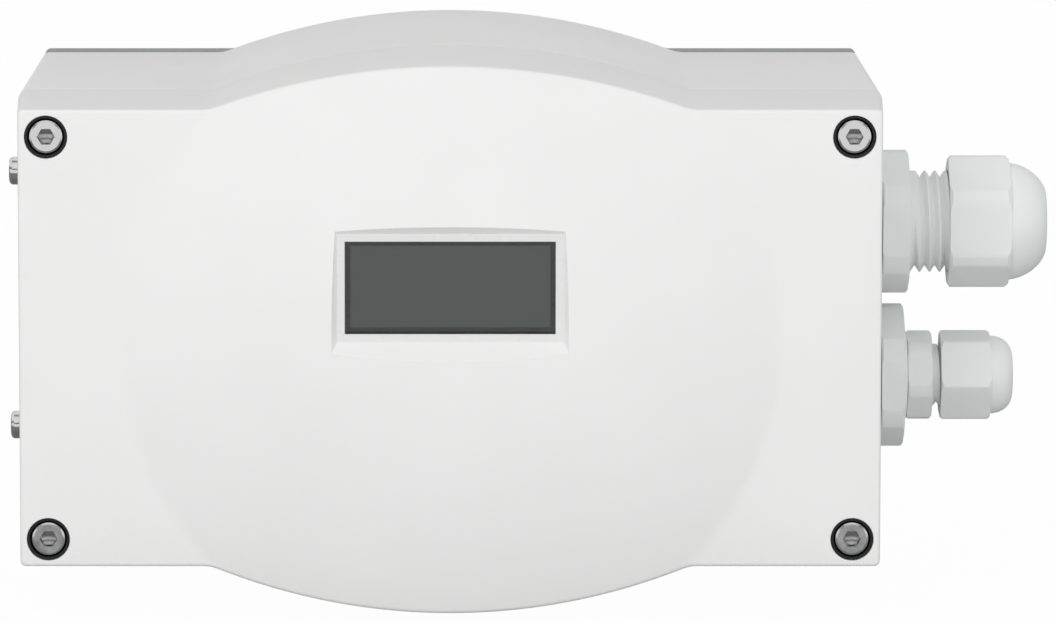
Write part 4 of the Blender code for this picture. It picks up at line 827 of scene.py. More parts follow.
class POSITIONER_OT_cover_screws(bpy.types.Operator):
    """Model the four socket head screws with their threads, and their cup washers"""

    bl_idname = "positioner.cover_screws"
    bl_label = "Cover screws"

    def execute(self, context):
        cfg = context.scene.positioner_screws
        x, z = screw_centres()[0]
        head = span("cover_screw_1")[0].y
        screw, cup = self.screw(cfg, x, z), self.cup(cfg, x, z)
        socket_r = mm(cfg.socket) / math.sqrt(3) - 0.02
        for number, (px, pz) in enumerate(screw_centres(), 1):
            shift = (px - x, 0, pz - z)
            one, two = numbered(screw, number, shift), numbered(cup, number, shift)
            dress(smooth(one, CRISP), "steel_y", f"screw_{number}", "steel", f"cover_screw_{number}")
            paint_shade_in_hollow(one, "Y", (px, 0, pz), socket_r, head + 0.1, head + mm(cfg.socket_depth) + 2)
            dress(smooth(two), "cup", f"washer_{number}", "dark_plastic", f"screw_washer_{number}")
        return {"FINISHED"}

    def screw(self, cfg, x, z):
        """Cap screw with a drilled hexagon socket, a plain neck and a rolled thread."""
        low, high = span("cover_screw_1")
        head, tip, neck = low.y, high.y, low.y + mm(cfg.head_height)
        head_r, shank_r, pitch = mm(cfg.head_radius), mm(cfg.shank_radius), mm(cfg.pitch)
        root = shank_r - 0.42
        plain = neck + 14.0
        screw = turned("cap_screw_1", "Y", (x, 0, z), [
            (0, head), (head_r - 0.55, head), (head_r - 0.2, head + 0.12), (head_r, head + 0.45),
            (head_r, neck - 0.15), (head_r - 0.15, neck), (shank_r + 0.2, neck), (shank_r, neck + 0.2),
            (shank_r, plain), (root, plain + 0.4), (root, tip - 0.4), (root - 0.4, tip), (0, tip)])
        bottom, corner_r = head + mm(cfg.socket_depth), mm(cfg.socket) / math.sqrt(3)
        socket = bar("socket", "Y", (x, 0, z), corner_r, head - 1, bottom, 6, math.radians(30))
        drill_r = mm(cfg.socket) / 2 - 0.02
        drill = [(0, head + 0.5), (drill_r, head + 0.5), (drill_r, bottom), (0, bottom + drill_r * 0.55)]
        carve(screw, join_on(socket, turned("drill", "Y", (x, 0, z), drill, steps=SMALL)))
        section = [(root - 0.15, 0.0), (root - 0.15, pitch * 0.9),
                   (shank_r, pitch * 0.52), (shank_r, pitch * 0.38)]
        turns = int((tip - plain - 1.2) / pitch)
        return join_on(screw, helix("thread", "Y", (x, plain + 0.2, z), section, pitch, turns, SMALL))

    def cup(self, cfg, x, z):
        """Cup washer whose wall stands round the screw's head."""
        low, high = span("screw_washer_1")
        outer = (high.x - low.x) / 2
        inner, bore, floor = outer - 0.5, mm(cfg.shank_radius) + SLIP, high.y - 0.7
        return turned("cup_washer_1", "Y", (x, 0, z), [
            (outer - 0.08, low.y), (outer, low.y + 0.1), (outer, high.y - 0.2), (outer - 0.2, high.y),
            (bore, high.y), (bore, floor), (inner, floor), (inner, low.y + 0.12), (inner + 0.1, low.y)],
            ring=True)


class POSITIONER_OT_housing(bpy.types.Operator):
    """Model the housing with its bosses, posts, side holes, seal groove and seal"""

    bl_idname = "positioner.housing"
    bl_label = "Housing"

    def execute(self, context):
        cfg = context.scene.positioner_casing
        wall, draft = mm(cfg.wall), mm(cfg.draft)
        low, high = span("housing")
        y_part, y_rear = low.y, high.y
        y_floor = y_rear - wall
        rows = [level(outline(cfg, -0.5), y_rear), level(outline(cfg, -0.15), y_rear - 0.15),
                level(outline(cfg, 0.0), y_rear - 0.5), *parting_rows(cfg, y_part, 1)[::-1],
                level(outline(cfg, draft - wall), y_part), level(outline(cfg, -wall), y_floor)]
        housing = filled(skin("moulded_housing", rows, loop=False))
        self.bosses(housing, y_part, y_floor, y_rear)
        self.side_holes(housing, high.x - wall * 2)
        carve(housing, skin("groove", self.ring_rows(cfg, y_part, (
            (1.0, -1), (1.0, 1.4), (2.2, 1.4), (2.2, -1)))))
        dress(smooth(housing), "casing", "casing", "casing_plastic", "housing")
        seal = skin("cover_seal", self.ring_rows(cfg, y_part, (
            (1.2, 0.1), (1.2, 1.2), (2.0, 1.2), (2.0, 0.1), (1.8, -0.2), (1.4, -0.2))))
        dress(smooth(seal), "rubber", "casing", "black_rubber", "cover_gasket")
        return {"FINISHED"}

    def bosses(self, housing, y_part, y_floor, y_rear):
        """Screw bosses, posts under the main board and the shaft's bearing boss, with their holes."""
        root = y_floor + 1
        for x, z in screw_centres():
            join_on(housing, bar("boss", "Y", (x, 0, z), BOSS_RADIUS, y_part + 0.2, root, SMALL))
        for number in range(1, 5):
            place = centre_of(f"board_pillar_{number}")
            post_front = span("main_board")[1].y + SEAT
            join_on(housing, bar("post", "Y", (place.x, 0, place.z), 3.4, post_front, root, SMALL))
        boss_front = span("shaft_bush")[0].y + 1.4 + SEAT
        join_on(housing, bar("bearing_boss", "Y", (0, 0, 0), 10.0, boss_front, root))
        for x, z in screw_centres():
            carve(housing, bar("hole", "Y", (x, 0, z), 2.25, y_part - 1, y_part + 10, SMALL))
        carve(housing, bar("hole", "Y", (0, 0, 0), 6.2, boss_front - 1, y_rear + 1))

    def side_holes(self, housing, side):
        """Holes for both glands on the right, and for the ports and their screws on the left."""
        reach = 12.0
        for node in ("gland_washer_m20", "reducer_washer"):
            place = centre_of(node)
            carve(housing, bar("hole", "X", (0, place.y, place.z), GLAND_HOLE, side, side + reach))
        y = centre_of("port_plate").y
        holes = [(z, 6.4) for z in port_heights()] + [(z, PORT_SCREW_HOLE) for z in port_screw_heights()]
        for z, radius in holes:
            carve(housing, bar("hole", "X", (0, y, z), radius, -side - reach, -side, SMALL))

    def ring_rows(self, cfg, y_part, section):
        """Rows of a ring that follows the outline, from (inset, depth) points of its section."""
        return [level(outline(cfg, mm(cfg.draft) - inset), y_part + depth) for inset, depth in section]


def port_heights():
    """Heights of the three ports, spaced evenly about the port plate's middle."""
    return [-PORT_PITCH, 0.0, PORT_PITCH]


def port_screw_heights():
    return [centre_of(f"port_screw_{number}").z for number in (1, 2)]


class POSITIONER_OT_rear(bpy.types.Operator):
    """Model the rear plate, its screws, the feedback shaft, its bush and seal"""

    bl_idname = "positioner.rear"
    bl_label = "Rear plate and shaft"

    def execute(self, context):
        self.plate()
        self.screws()
        self.shaft()
        return {"FINISHED"}

    def plate(self):
        """Coated plate with a seat for the shaft's seal, four screw sinks and four tapped holes."""
        low, high = span("rear_plate")
        lug = 0.25
        plate = block("mounting_plate", (low.x, low.y, low.z + lug), (high.x, high.y, high.z - lug))
        upright_edges(plate, 1.2)
        soften(plate, 0.6, 3, 60.0)
        seal_low, seal_high = span("shaft_seal")
        seat_r, floor = (seal_high.x - seal_low.x) / 2 + SLIP, seal_high.y + SLIP
        carve(plate, turned("seat", "Y", (0, 0, 0), [
            (0, low.y - 1), (seat_r, low.y - 1), (seat_r, floor), (6.5, floor), (6.5, -0.4), (6.9, 1),
            (0, 1)]))
        screw_low, screw_high = span("rear_plate_screw_1")
        head = (screw_high.x - screw_low.x) / 2
        shank, sink = 2.1, -(head - 1.9) - SEAT
        for x, z in screw_centres():
            carve(plate, turned("sink", "Y", (x, 0, z), [
                (0, low.y - 1), (shank, low.y - 1), (shank, sink), (head + SLIP, -SEAT), (head + SLIP, 1),
                (0, 1)], steps=SMALL))
        taps = list(product((-25.0, 25.0), (-12.5, 12.5)))
        for x, z in taps:
            profile = [(0, 1), (3.4, 1), (2.5, -0.5), (2.5, -6.5), (0, -7.5)]
            carve(plate, turned("tap", "Y", (x, 0, z), profile, steps=SMALL))
        dress(smooth(plate), "plate", "casing", "dark_plate", "rear_plate")
        for number, (x, z) in enumerate(taps, 1):
            section = [(2.52, 0.0), (2.52, 0.9), (2.2, 0.5), (2.2, 0.4)]
            ridge = helix(f"bracket_thread_{number}", "Y", (x, -6.3, z), section, 1.0, 4, SMALL)
            dress(smooth(ridge), "aluminium", "casing", "aluminium")

    def screws(self):
        x, z = screw_centres()[0]
        low, high = span("rear_plate_screw_1")
        head, shank = (high.x - low.x) / 2, 1.9
        screw = turned("countersunk_screw_1", "Y", (x, 0, z), [
            (0, low.y), (shank - 0.4, low.y), (shank, low.y + 0.5), (shank, high.y - 2.1),
            (head, high.y - 0.25), (head, high.y), (0, high.y)], steps=FAIR)
        carve(screw, bar("socket", "Y", (x, 0, z), 1.45, high.y - 1.6, high.y + 1, 6))
        for number, (px, pz) in enumerate(screw_centres(), 1):
            one = numbered(screw, number, (px - x, 0, pz - z))
            dress(smooth(one, CRISP), "steel_y", "casing", "steel", f"rear_plate_screw_{number}")
            paint_shade_in_hollow(one, "Y", (px, 0, pz), 1.4, high.y - 2, high.y - 0.1)

    def shaft(self):
        """Stepped shaft with a driver tongue, its flanged bush and its lip seal."""
        low, high = span("feedback_shaft")
        shaft_r, drive_r = 4.0, 6.0
        shaft = turned("drive_shaft", "Y", (0, 0, 0), [
            (0, low.y), (shaft_r - 0.5, low.y), (shaft_r, low.y + 0.5), (shaft_r, 0.8), (shaft_r + 0.3, 1.0),
            (drive_r - 0.5, 1.0), (drive_r, 1.5), (drive_r, high.y - 1), (drive_r - 1, high.y), (0, high.y)])
        for side in (-1, 1):
            ends = sorted((side * 2.0, side * 8.0))
            flat = block("flat", (-8, 8.0, ends[0]), (8, high.y + 2, ends[1]))
            carve(shaft, soften(flat, 0.5, 3))
        dress(smooth(shaft), "steel_y", "shaft", "steel", "feedback_shaft")
        low, high = span("shaft_bush")
        bore, outer, flange_r, flange_end = 4.1, 6.0, 7.6, low.y + 1.4
        bush = turned("flanged_bush", "Y", (0, 0, 0), [
            (7.3, low.y), (flange_r, low.y + 0.3), (flange_r, low.y + 1.1), (7.3, flange_end),
            (outer, flange_end), (outer, high.y - 0.5), (5.6, high.y), (4.5, high.y), (bore, high.y - 0.4),
            (bore, low.y + 0.4), (4.5, low.y)], ring=True)
        dress(smooth(bush), "bronze", "casing", "brass", "shaft_bush")
        low, high = span("shaft_seal")
        lip_r, outer = 4.15, 9.8
        seal = turned("lip_seal", "Y", (0, 0, 0), [
            (9.5, low.y), (outer, low.y + 0.3), (outer, high.y - 0.4), (9.4, high.y), (5.4, high.y),
            (4.9, high.y - 0.5), (lip_r, high.y - 1.3), (lip_r, high.y - 1.6), (5.2, low.y + 1.4),
            (7.8, low.y + 1.2), (7.8, low.y)], ring=True)
        dress(smooth(seal), "rubber", "casing", "black_rubber", "shaft_seal")


def upright_edges(piece, radius):
    """Rounds a block's four edges along Y."""
    activate(piece)
    mesh = piece.data
    for item in list(mesh.vertices) + list(mesh.polygons):
        item.select = False
    for edge in mesh.edges:
        first, second = (mesh.vertices[i].co for i in edge.vertices)
        edge.select = abs(first.y - second.y) > 1e-4
    bpy.ops.object.mode_set(mode="EDIT")
    bpy.ops.mesh.select_mode(type="EDGE")
    bpy.ops.mesh.bevel(offset=radius * MM, segments=8, affect="EDGES")
    bpy.ops.mesh.select_mode(type="VERT")
    bpy.ops.object.mode_set(mode="OBJECT")


def hex_bar(name, centre, flats, start, end, turn):
    """Hexagonal bar along X with a corner at an angle from -Y towards +Z."""
    return bar(name, "X", centre, flats / math.sqrt(3), start, end, 6, -turn)


# Hexagonal flange: its sizes, and its back as (radius kept, step, bevel, bevel's length)
WALL_FLANGE = {"flats": 26.5, "cut": 14.2, "back": (0.0, 0.75, 0.3, 0.3)}
SMALL_FLANGE = {"flats": 16.4, "cut": 8.8, "back": (8.2, 0.0, 0.3, 0.3)}

# Cap nuts: the hexagon's and the hollow's sizes, the nut's travel and the power of its dome's curve
LARGE_NUT = {"flats": 23.7, "cut": 13.1, "hex_length": 12.05, "dome_r": 11.6, "thread_r": 10.2,
             "step_r": 8.35, "hole": 5.4, "travel": 4.8, "power": 1.7}
SMALL_NUT = {"flats": 16.0, "cut": 9.12, "hex_length": 9.9, "dome_r": 7.75, "thread_r": 6.4,
             "step_r": 4.8, "hole": 3.4, "travel": 3.3, "power": 2.15}


class POSITIONER_OT_glands(bpy.types.Operator):
    """Model both cable glands: wall fittings, threads, cap nuts, inserts, washers and lock nuts"""

    bl_idname = "positioner.glands"
    bl_label = "Cable glands"

    def execute(self, context):
        cfg = context.scene.positioner_glands
        self.large_body(cfg)
        self.reducer(cfg)
        self.small_body()
        self.cap_nut("m20", cfg.turn, **LARGE_NUT)
        self.cap_nut("m12", math.radians(-6.5), **SMALL_NUT)
        self.insert("m20", 5.0)
        self.insert("m12", 3.2)
        for node in ("gland_washer_m20", "reducer_washer"):
            high_x = span(node)[1].x + WALL_FLANGE["back"][1] + 0.08
            self.flat_ring(node, "rubber", "black_rubber", GLAND_HOLE, 0.4, high_x)
        self.flat_ring("gland_ring_m12", "gland", "gland_plastic", 6.3, 0.0, span("gland_ring_m12")[1].x)
        for node in ("lock_nut_m20", "reducer_lock_nut"):
            self.lock_nut(node)
        return {"FINISHED"}

    def axis_of(self, node):
        place = centre_of(node)
        return (0.0, place.y, place.z)

    def hexagon(self, name, centre, flats, start, end, turn, envelope):
        """Hexagonal bar turned down to an envelope, given as (radius, distance) points from face to face."""
        piece = hex_bar(name, centre, flats, start, end, turn)
        points = [(0, envelope[0][1]), *envelope, (0, envelope[-1][1])]
        return carve(piece, turned("envelope", "X", centre, points, steps=LARGE), "INTERSECT")

    def flange(self, centre, start, end, turn, bore, flats, cut, back):
        """Bored hexagonal flange with turned corners."""
        kept, step, bevel, bevel_length = back
        piece = self.hexagon("flange", centre, flats, start - PROUD, end + PROUD, turn, [
            (kept, start), (kept, start + step), (cut - bevel, start + step),
            (cut, start + step + bevel_length), (cut, end - 0.4), (cut - 0.5, end)])
        return carve(piece, bar("bore", "X", centre, bore, start - PROUD, end + PROUD, LARGE))

    def core(self, name, centre, section):
        return turned(name, "X", centre, section, ring=True, steps=LARGE)

    def shank(self, low, face, bore):
        """Profile of the thread's core in the wall, from its inner end to the face."""
        return [(bore, low), (9.3, low), (9.8, low + 0.6), (9.8, face + 2.0)]

    def cut_thread(self, core, centre, start, radius, depth, pitch, high, angle, run_out):
        """Cuts a V groove along a screw line that starts at an angle and runs in over part of a turn."""
        over, flat = 0.4, 0.06
        half = pitch * 0.43 * (depth + over) / depth
        root = radius - depth
        section = [(radius + over, -half), (root, -flat), (root, flat), (radius + over, half)]
        turns = int((high - start) / pitch) + 1
        groove = helix("groove", "X", (start, centre[1], centre[2]), section, pitch, turns, LARGE,
                       math.radians(angle), run_out, depth + 0.1)
        carve(core, groove)

    def large_body(self, cfg):
        low, high = span("gland_body_m20")
        centre = self.axis_of("gland_washer_m20")
        face = span("gland_washer_m20")[1].x + 0.1
        flange_end = face + 6.2
        thread_r, bore, seat_r, seat = 10.05, 6.4, 8.15, high.x - 9.3
        body = self.core("gland_m20", centre, self.shank(low.x, face, bore) + [
            (thread_r, face + 2.5), (thread_r, high.x - 0.8), (thread_r - 0.8, high.x), (seat_r, high.x),
            (seat_r, seat), (bore, seat)])
        self.cut_thread(body, centre, flange_end + 0.87, thread_r, mm(cfg.thread_depth), mm(cfg.pitch),
                        high.x, 251.0, 0.22)
        gather(body, self.flange(centre, face, flange_end, cfg.turn, 8.9, **WALL_FLANGE))
        dress(smooth(body), "gland", "casing", "gland_plastic", "gland_body_m20")

    def reducer(self, cfg):
        low, high = span("reducer_m20_m12")
        centre = self.axis_of("reducer_washer")
        face = span("reducer_washer")[1].x + 0.1
        bore = 6.3
        body = self.core("reducer", centre, self.shank(low.x, face, bore) + [
            (9.0, face + 3.0), (9.0, high.x - 0.4), (bore, high.x - 0.4)])
        gather(body, self.flange(centre, face, high.x, cfg.turn, bore, **WALL_FLANGE))
        dress(smooth(body), "gland", "casing", "gland_plastic", "reducer_m20_m12")

    def small_body(self):
        low, high = span("gland_body_m12")
        centre = self.axis_of("reducer_washer")
        face = span("gland_ring_m12")[1].x + 0.1
        hex_end = face + 4.9
        thread_r, depth, pitch = 6.15, 0.8, 1.5
        bore, seat_r, seat = 3.6, 4.6, high.x - 7.2
        body = self.core("gland_m12", centre, [
            (bore, low.x), (5.6, low.x), (6.0, low.x + 0.5), (6.0, hex_end - 1), (thread_r, hex_end - 1),
            (thread_r, high.x - 0.5), (thread_r - 0.5, high.x), (seat_r, high.x), (seat_r, seat),
            (bore, seat)])
        self.cut_thread(body, centre, hex_end + 0.8, thread_r, depth, pitch, high.x, 300.0, 0.15)
        gather(body, self.flange(centre, face, hex_end, math.radians(-13.5), 5.2, **SMALL_FLANGE))
        dress(smooth(body), "gland", "casing", "gland_plastic", "gland_body_m12")

    def cap_nut(self, size, turn, flats, cut, hex_length, dome_r, thread_r, step_r, hole, travel, power):
        """Domed cap nut: a hexagon, a dome that is hollow for the seal insert, and a collar inside."""
        node = f"cap_nut_{size}"
        low, high = span(node)
        centre = self.axis_of(node)
        end = low.x + hex_length
        insert_top = span(f"seal_insert_{size}")[1].x + SEAT
        step = span(f"gland_body_{size}")[1].x + travel
        bevel = (cut - flats / 2) * 0.55
        nut = self.hexagon(f"domed_nut_{size}", centre, flats, low.x - PROUD, end + PROUD, turn, [
            (cut - bevel, low.x), (cut, low.x + bevel * 0.7), (cut, end - bevel), (cut - bevel, end)])
        carve(nut, bar("bore", "X", centre, thread_r, low.x - PROUD, end + PROUD, LARGE))
        foot = end - 1.5
        section = [(thread_r - 0.01, foot), (dome_r, foot), (dome_r, end)]
        section += self.rounded(end, high.x, dome_r, hole + 0.35, power)
        section += [(hole, high.x - 0.4), (hole, insert_top), (step_r, insert_top), (step_r, foot)]
        collar_r, collar_end = thread_r + 0.05, foot + 0.3
        collar = [(step_r, step), (collar_r, step), (collar_r, collar_end), (step_r, collar_end)]
        gather(nut, self.core("dome", centre, section))
        gather(nut, self.core("collar", centre, collar))
        dress(smooth(nut), "gland", f"{size}_nut", "gland_plastic", node)

    def rounded(self, start, end, radius, rim, power):
        """Outline of a cap's dome from its foot to its rim: a wide curve that closes faster at the tip."""
        steps = 18
        points = []
        for i in range(1, steps + 1):
            along = math.sin(math.pi / 2 * i / steps)
            across = (1 - along ** power) ** (1 / power) if i < steps else 0.0
            points.append((rim + (radius - rim) * across, start + (end - start) * along))
        return points

    def insert(self, size, bore):
        """Rubber insert with three grooves in its bore."""
        node = f"seal_insert_{size}"
        low, high = span(node)
        outer = (high.z - low.z) / 2
        ring = [(bore, low.x), (outer - 0.9, low.x), (outer - 0.4, low.x + 0.8), (outer, low.x + 2.2),
                (outer, high.x - 0.3), (outer - 0.3, high.x), (bore + 0.9, high.x),
                (bore + 0.2, high.x - 0.7)]
        for k in range(3):
            along = high.x - 2.2 - 2.4 * k
            ring += [(bore + 0.25, along), (bore, along - 0.5), (bore, along - 1.0)]
        piece = self.core(f"rubber_{size}", self.axis_of(node), ring)
        dress(smooth(piece), "rubber", f"{size}_insert", "black_rubber", node)

    def flat_ring(self, node, key, slot, bore, spread, end):
        """Flat washer that is pressed wider than its solid by a spread."""
        low, high = span(node)
        outer = (high.z - low.z) / 2 + spread
        piece = self.core(f"sealing_{node}", self.axis_of(node), [
            (bore, low.x), (outer - 0.1, low.x), (outer, low.x + 0.15), (outer, end - 0.15),
            (outer - 0.1, end), (bore, end)])
        dress(smooth(piece), key, "casing", slot, node)

    def lock_nut(self, node):
        low, high = span(node)
        centre = self.axis_of(node)
        cut, bore = 13.2, GLAND_HOLE
        nut = self.hexagon(f"wall_{node}", centre, 24.0, low.x, high.x, 0.0, [
            (12.0, low.x), (cut, low.x + 0.9), (cut, high.x)])
        carve(nut, turned("bore", "X", centre, [
            (0, low.x - 1), (bore + 0.5, low.x - 1), (bore, low.x + 0.5), (bore, high.x + 1),
            (0, high.x + 1)], steps=LARGE))
        dress(smooth(nut), "gland", "casing", "gland_plastic", node)


class POSITIONER_OT_ports(bpy.types.Operator):
    """Model the port plate, its two screws, the ports' threads and the pilot valves"""

    bl_idname = "positioner.ports"
    bl_label = "Air ports"

    def execute(self, context):
        low, high = span("port_plate")
        y = centre_of("port_plate").y
        screw_z = port_screw_heights()
        plate = soften(block("ported_plate", low, high), 0.2, 2, 40.0)
        for z in port_heights():
            carve(plate, turned("hole", "X", (0, y, z), [
                (0, low.x - 1), (5.4, low.x - 1), (5.0, low.x + 0.3), (5.0, high.x + 1), (0, high.x + 1)]))
        for z in screw_z:
            carve(plate, bar("hole", "X", (0, y, z), PORT_SCREW_HOLE, low.x - 1, high.x + 1, SMALL))
        dress(smooth(plate), "aluminium", "casing", "aluminium", "port_plate")
        screw, head = self.screw(y, screw_z[0], low.x - 0.1)
        lower = numbered(screw, 2, (0, 0, screw_z[1] - screw_z[0]))
        for number, (one, z) in enumerate(zip((screw, lower), screw_z), 1):
            dress(smooth(one, CRISP), "steel_x", "casing", "steel", f"port_screw_{number}")
            paint_shade_in_hollow(one, "X", (0, y, z), 1.4, head + 0.05, head + 2)
        start = span("valve_block")[0].x + 0.3
        for number, z in enumerate(port_heights(), 1):
            section = [(4.38, 0.0), (4.38, 0.8), (4.0, 0.48), (4.0, 0.36)]
            ridge = helix(f"port_thread_{number}", "X", (start, y, z), section, 0.907, 9, FAIR)
            dress(smooth(ridge), "aluminium", "casing", "aluminium")
        self.pilot_valves()
        return {"FINISHED"}

    def screw(self, y, z, seat):
        """Socket screw on the port plate, and where its head begins."""
        low, high = span("port_screw_1")
        head_r, shank_r, head = (high.z - low.z) / 2, 1.5, low.x
        screw = turned("cylinder_screw_1", "X", (0, y, z), [
            (0, head), (head_r - 0.75, head), (head_r - 0.25, head + 0.2), (head_r, head + 0.6),
            (head_r, seat - 0.15), (head_r - 0.15, seat), (shank_r, seat), (shank_r, high.x - 0.5),
            (1.1, high.x), (0, high.x)], steps=LARGE)
        return carve(screw, bar("socket", "X", (0, y, z), 1.45, head - 1, head + 1.6, 6)), head

    def pilot_valves(self):
        """Round pilot valves with a waist, a groove and a stepped tip."""
        low, high = span("pilot_valve_1")
        place = centre_of("pilot_valve_1")
        r, base, tip = (high.x - low.x) / 2, high.y, low.y
        valve = turned("pilot_1", "Y", (place.x, 0, place.z), [
            (0, base), (r - 1, base), (r - 1, base - 1.8), (r, base - 2.4), (r, base - 4.2),
            (r - 0.5, base - 4.4), (r - 0.5, base - 5.0), (r, base - 5.2), (r, tip + 3.4),
            (r - 0.5, tip + 2.6), (r - 2.5, tip + 2.0), (r - 2.5, tip + 0.4), (r - 2.9, tip), (0, tip)])
        lower = numbered(valve, 2, (0, 0, centre_of("pilot_valve_2").z - place.z))
        for number, one in enumerate((valve, lower), 1):
            dress(smooth(one), "dark", "casing", "dark_plastic", f"pilot_valve_{number}")


# Board parts, by their place on the main board and their size
CHIPS = ((-8.0, 12.0, 12.0, 12.0, 1.6), (-30.0, 8.0, 8.0, 5.0, 1.4), (14.0, -22.0, 7.0, 5.0, 1.4),
         (22.0, 14.0, 9.0, 6.0, 1.5))
CAPACITORS = ((-36.0, -10.0, 4.0, 9.0), (-36.0, -20.0, 4.0, 9.0), (30.0, -30.0, 3.2, 7.0))
LEG_PITCH = 1.27
TERMINAL_WAYS = 10
TERMINAL_PITCH = 5.08


class POSITIONER_OT_controls(bpy.types.Operator):
    """Model the push buttons, terminal screws, brass inserts and the parts on the main board"""

    bl_idname = "positioner.controls"
    bl_label = "Boards and controls"

    def execute(self, context):
        self.buttons()
        self.terminal_screws()
        self.inserts()
        front = span("main_board")[0].y
        for number, chip in enumerate(CHIPS, 1):
            self.chip(number, front, *chip)
        for number, can in enumerate(CAPACITORS, 1):
            self.capacitor(number, front, *can)
        return {"FINISHED"}

    def buttons(self):
        low, high = span("push_button_1")
        place = centre_of("push_button_1")
        cap_r, stem_r, front, back = (high.x - low.x) / 2, 2.3, low.y, low.y + 1.8
        cap = turned("button_cap_1", "Y", (place.x, 0, place.z), [
            (0, front + 0.25), (1.8, front + 0.12), (cap_r - 0.8, front), (cap_r - 0.25, front + 0.15),
            (cap_r, front + 0.55), (cap_r, back - 0.1), (cap_r - 0.1, back), (stem_r, back), (stem_r, high.y),
            (0, high.y)], steps=FAIR)
        for number in range(1, 5):
            one = numbered(cap, number, (centre_of(f"push_button_{number}").x - place.x, 0, 0))
            dress(smooth(one), "button", f"button_{number}", "button_plastic", f"push_button_{number}")

    def terminal_screws(self):
        low, high = span("terminal_strip")
        x, z = low.x + (high.x - low.x) * 0.4, -TERMINAL_PITCH * (TERMINAL_WAYS - 1) / 2
        head_r, front, back = 1.9, low.y + 1.4, low.y + 3.8
        profile = [(0, front), (head_r - 0.4, front), (head_r, low.y + 1.8), (head_r, back), (0, back)]
        screw = turned("terminal_screw_1", "Y", (x, 0, z), profile, steps=SMALL)
        carve(screw, block("slot", (x - 2.2, low.y + 0.5, z - 0.3), (x + 2.2, low.y + 2.3, z + 0.3)))
        for number in range(1, TERMINAL_WAYS + 1):
            one = numbered(screw, number, (0, 0, TERMINAL_PITCH * (number - 1)))
            dress(smooth(one), "tin", "casing", "steel")

    def inserts(self):
        """Brass inserts in the housing's corner bosses."""
        x, z = screw_centres()[0]
        front, bore, outer = span("housing")[0].y - 0.05, 2.28, 3.5
        back = front + 1.75
        ring = turned("boss_insert_1", "Y", (x, 0, z), [
            (bore, front), (outer - 0.2, front), (outer, front + 0.2), (outer, back), (bore, back)],
            ring=True, steps=FAIR)
        for number, (px, pz) in enumerate(screw_centres(), 1):
            one = numbered(ring, number, (px - x, 0, pz - z))
            dress(smooth(one), "brass", "casing", "brass")

    def chip(self, number, front, x, z, width, height, thickness):
        """Chip with a dot at its first leg, and a row of legs at its top and bottom."""
        low = (x - width / 2, front - thickness - 0.15, z - height / 2)
        chip = soften(block(f"chip_{number}", low, (x + width / 2, front - 0.15, z + height / 2)), 0.2)
        dot_place = (x - width / 2 + 1.2, 0, z + height / 2 - 1.2)
        carve(chip, bar("dot", "Y", dot_place, 0.45, front - thickness - 1, front - thickness, COARSE))
        legs = int(width / LEG_PITCH) - 1
        for k in range(legs):
            leg_x = x - (legs - 1) * LEG_PITCH / 2 + k * LEG_PITCH
            for side, word in ((-1, "bottom"), (1, "top")):
                ends = sorted((z + side * height / 2, z + side * (height / 2 + 1.0)))
                leg = block(f"chip_{number}_leg_{k + 1}_{word}", (leg_x - 0.2, front - 0.5, ends[0]),
                            (leg_x + 0.2, front - 0.05, ends[1]))
                dress(leg, "tin", "casing", "steel")
        dress(smooth(chip), "dark", "casing", "dark_plastic")

    def capacitor(self, number, front, x, z, r, height):
        """Can on a short foot, with a waist and a rim round its top."""
        top, waist = front - height, r - 0.35
        can = turned(f"capacitor_{number}", "Y", (x, 0, z), [
            (0, front - 0.1), (r - 0.3, front - 0.1), (r, front - 0.4), (r, front - 1.2),
            (waist, front - 1.5), (waist, front - 1.8), (r, front - 2.1), (r, top + 0.5),
            (r - 0.4, top + 0.05), (r - 0.9, top), (r - 1.1, top + 0.1), (0, top + 0.1)], steps=FAIR)
        dress(smooth(can), "aluminium", "casing", "aluminium")


class POSITIONER_OT_remaining(bpy.types.Operator):
    """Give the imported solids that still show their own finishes"""

    bl_idname = "positioner.remaining"
    bl_label = "Other solids"

    def execute(self, context):
        looks = {
            "dark": ("display_module", "keypad_frame", "position_sensor"),
            "board": ("display_board", "main_board"),
            "terminal": ("terminal_strip",),
            "red": ("switch_body",),
            "acetal": ("switch_slider_1", "switch_slider_2", "shaft_gear", "sensor_pinion"),
            "brass": [f"board_pillar_{number}" for number in range(1, 5)],
            "aluminium": ("sensor_bracket", "valve_block"),
            "rubber": ("port_gasket",),
            "steel_y": ("shaft_clip",),
        }
        for key, nodes in looks.items():
            for node in nodes:
                self.finish_solid(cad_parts[node], finish(key))
        return {"FINISHED"}

    def finish_solid(self, solid, material):
        solid.data.materials.clear()
        solid.data.materials.append(material)
        weld = solid.modifiers.new("weld", "WELD")
        weld.merge_threshold = MERGE
        bevel = solid.modifiers.new("bevel", "BEVEL")
        bevel.width = 0.12 * MM
        bevel.segments = 2
        bevel.limit_method = "ANGLE"
        bevel.angle_limit = math.radians(40)


# Photo's width, and the lens found for it, in pixels
FRAME_WIDTH = 1056.0
FOCAL_LENGTH = 8034.0
PRINCIPAL_X = 450.2

# Lamps: name, place and width in metres, and share of the key lamp's power
LAMPS = (
    ("key_lamp", (-0.6, -1.45, 0.6), 0.8, 1.0),
    ("fill_lamp", (0.7, -1.4, 0.35), 0.7, 0.26),
    ("low_lamp", (0.25, -1.5, -0.02), 0.5, 0.28),
)
AIM = Vector((0.0, -0.06, 0.0))

# Greys that shiny surfaces see from straight down (0) to straight up (1), like a studio's soft boxes
BANDS = ((0.0, 0.4), (0.26, 0.4), (0.29, 0.14), (0.37, 0.14), (0.39, 1.0), (0.6, 1.0), (0.615, 0.2),
         (0.69, 0.2), (0.71, 0.95), (0.98, 0.95), (1.0, 0.3))

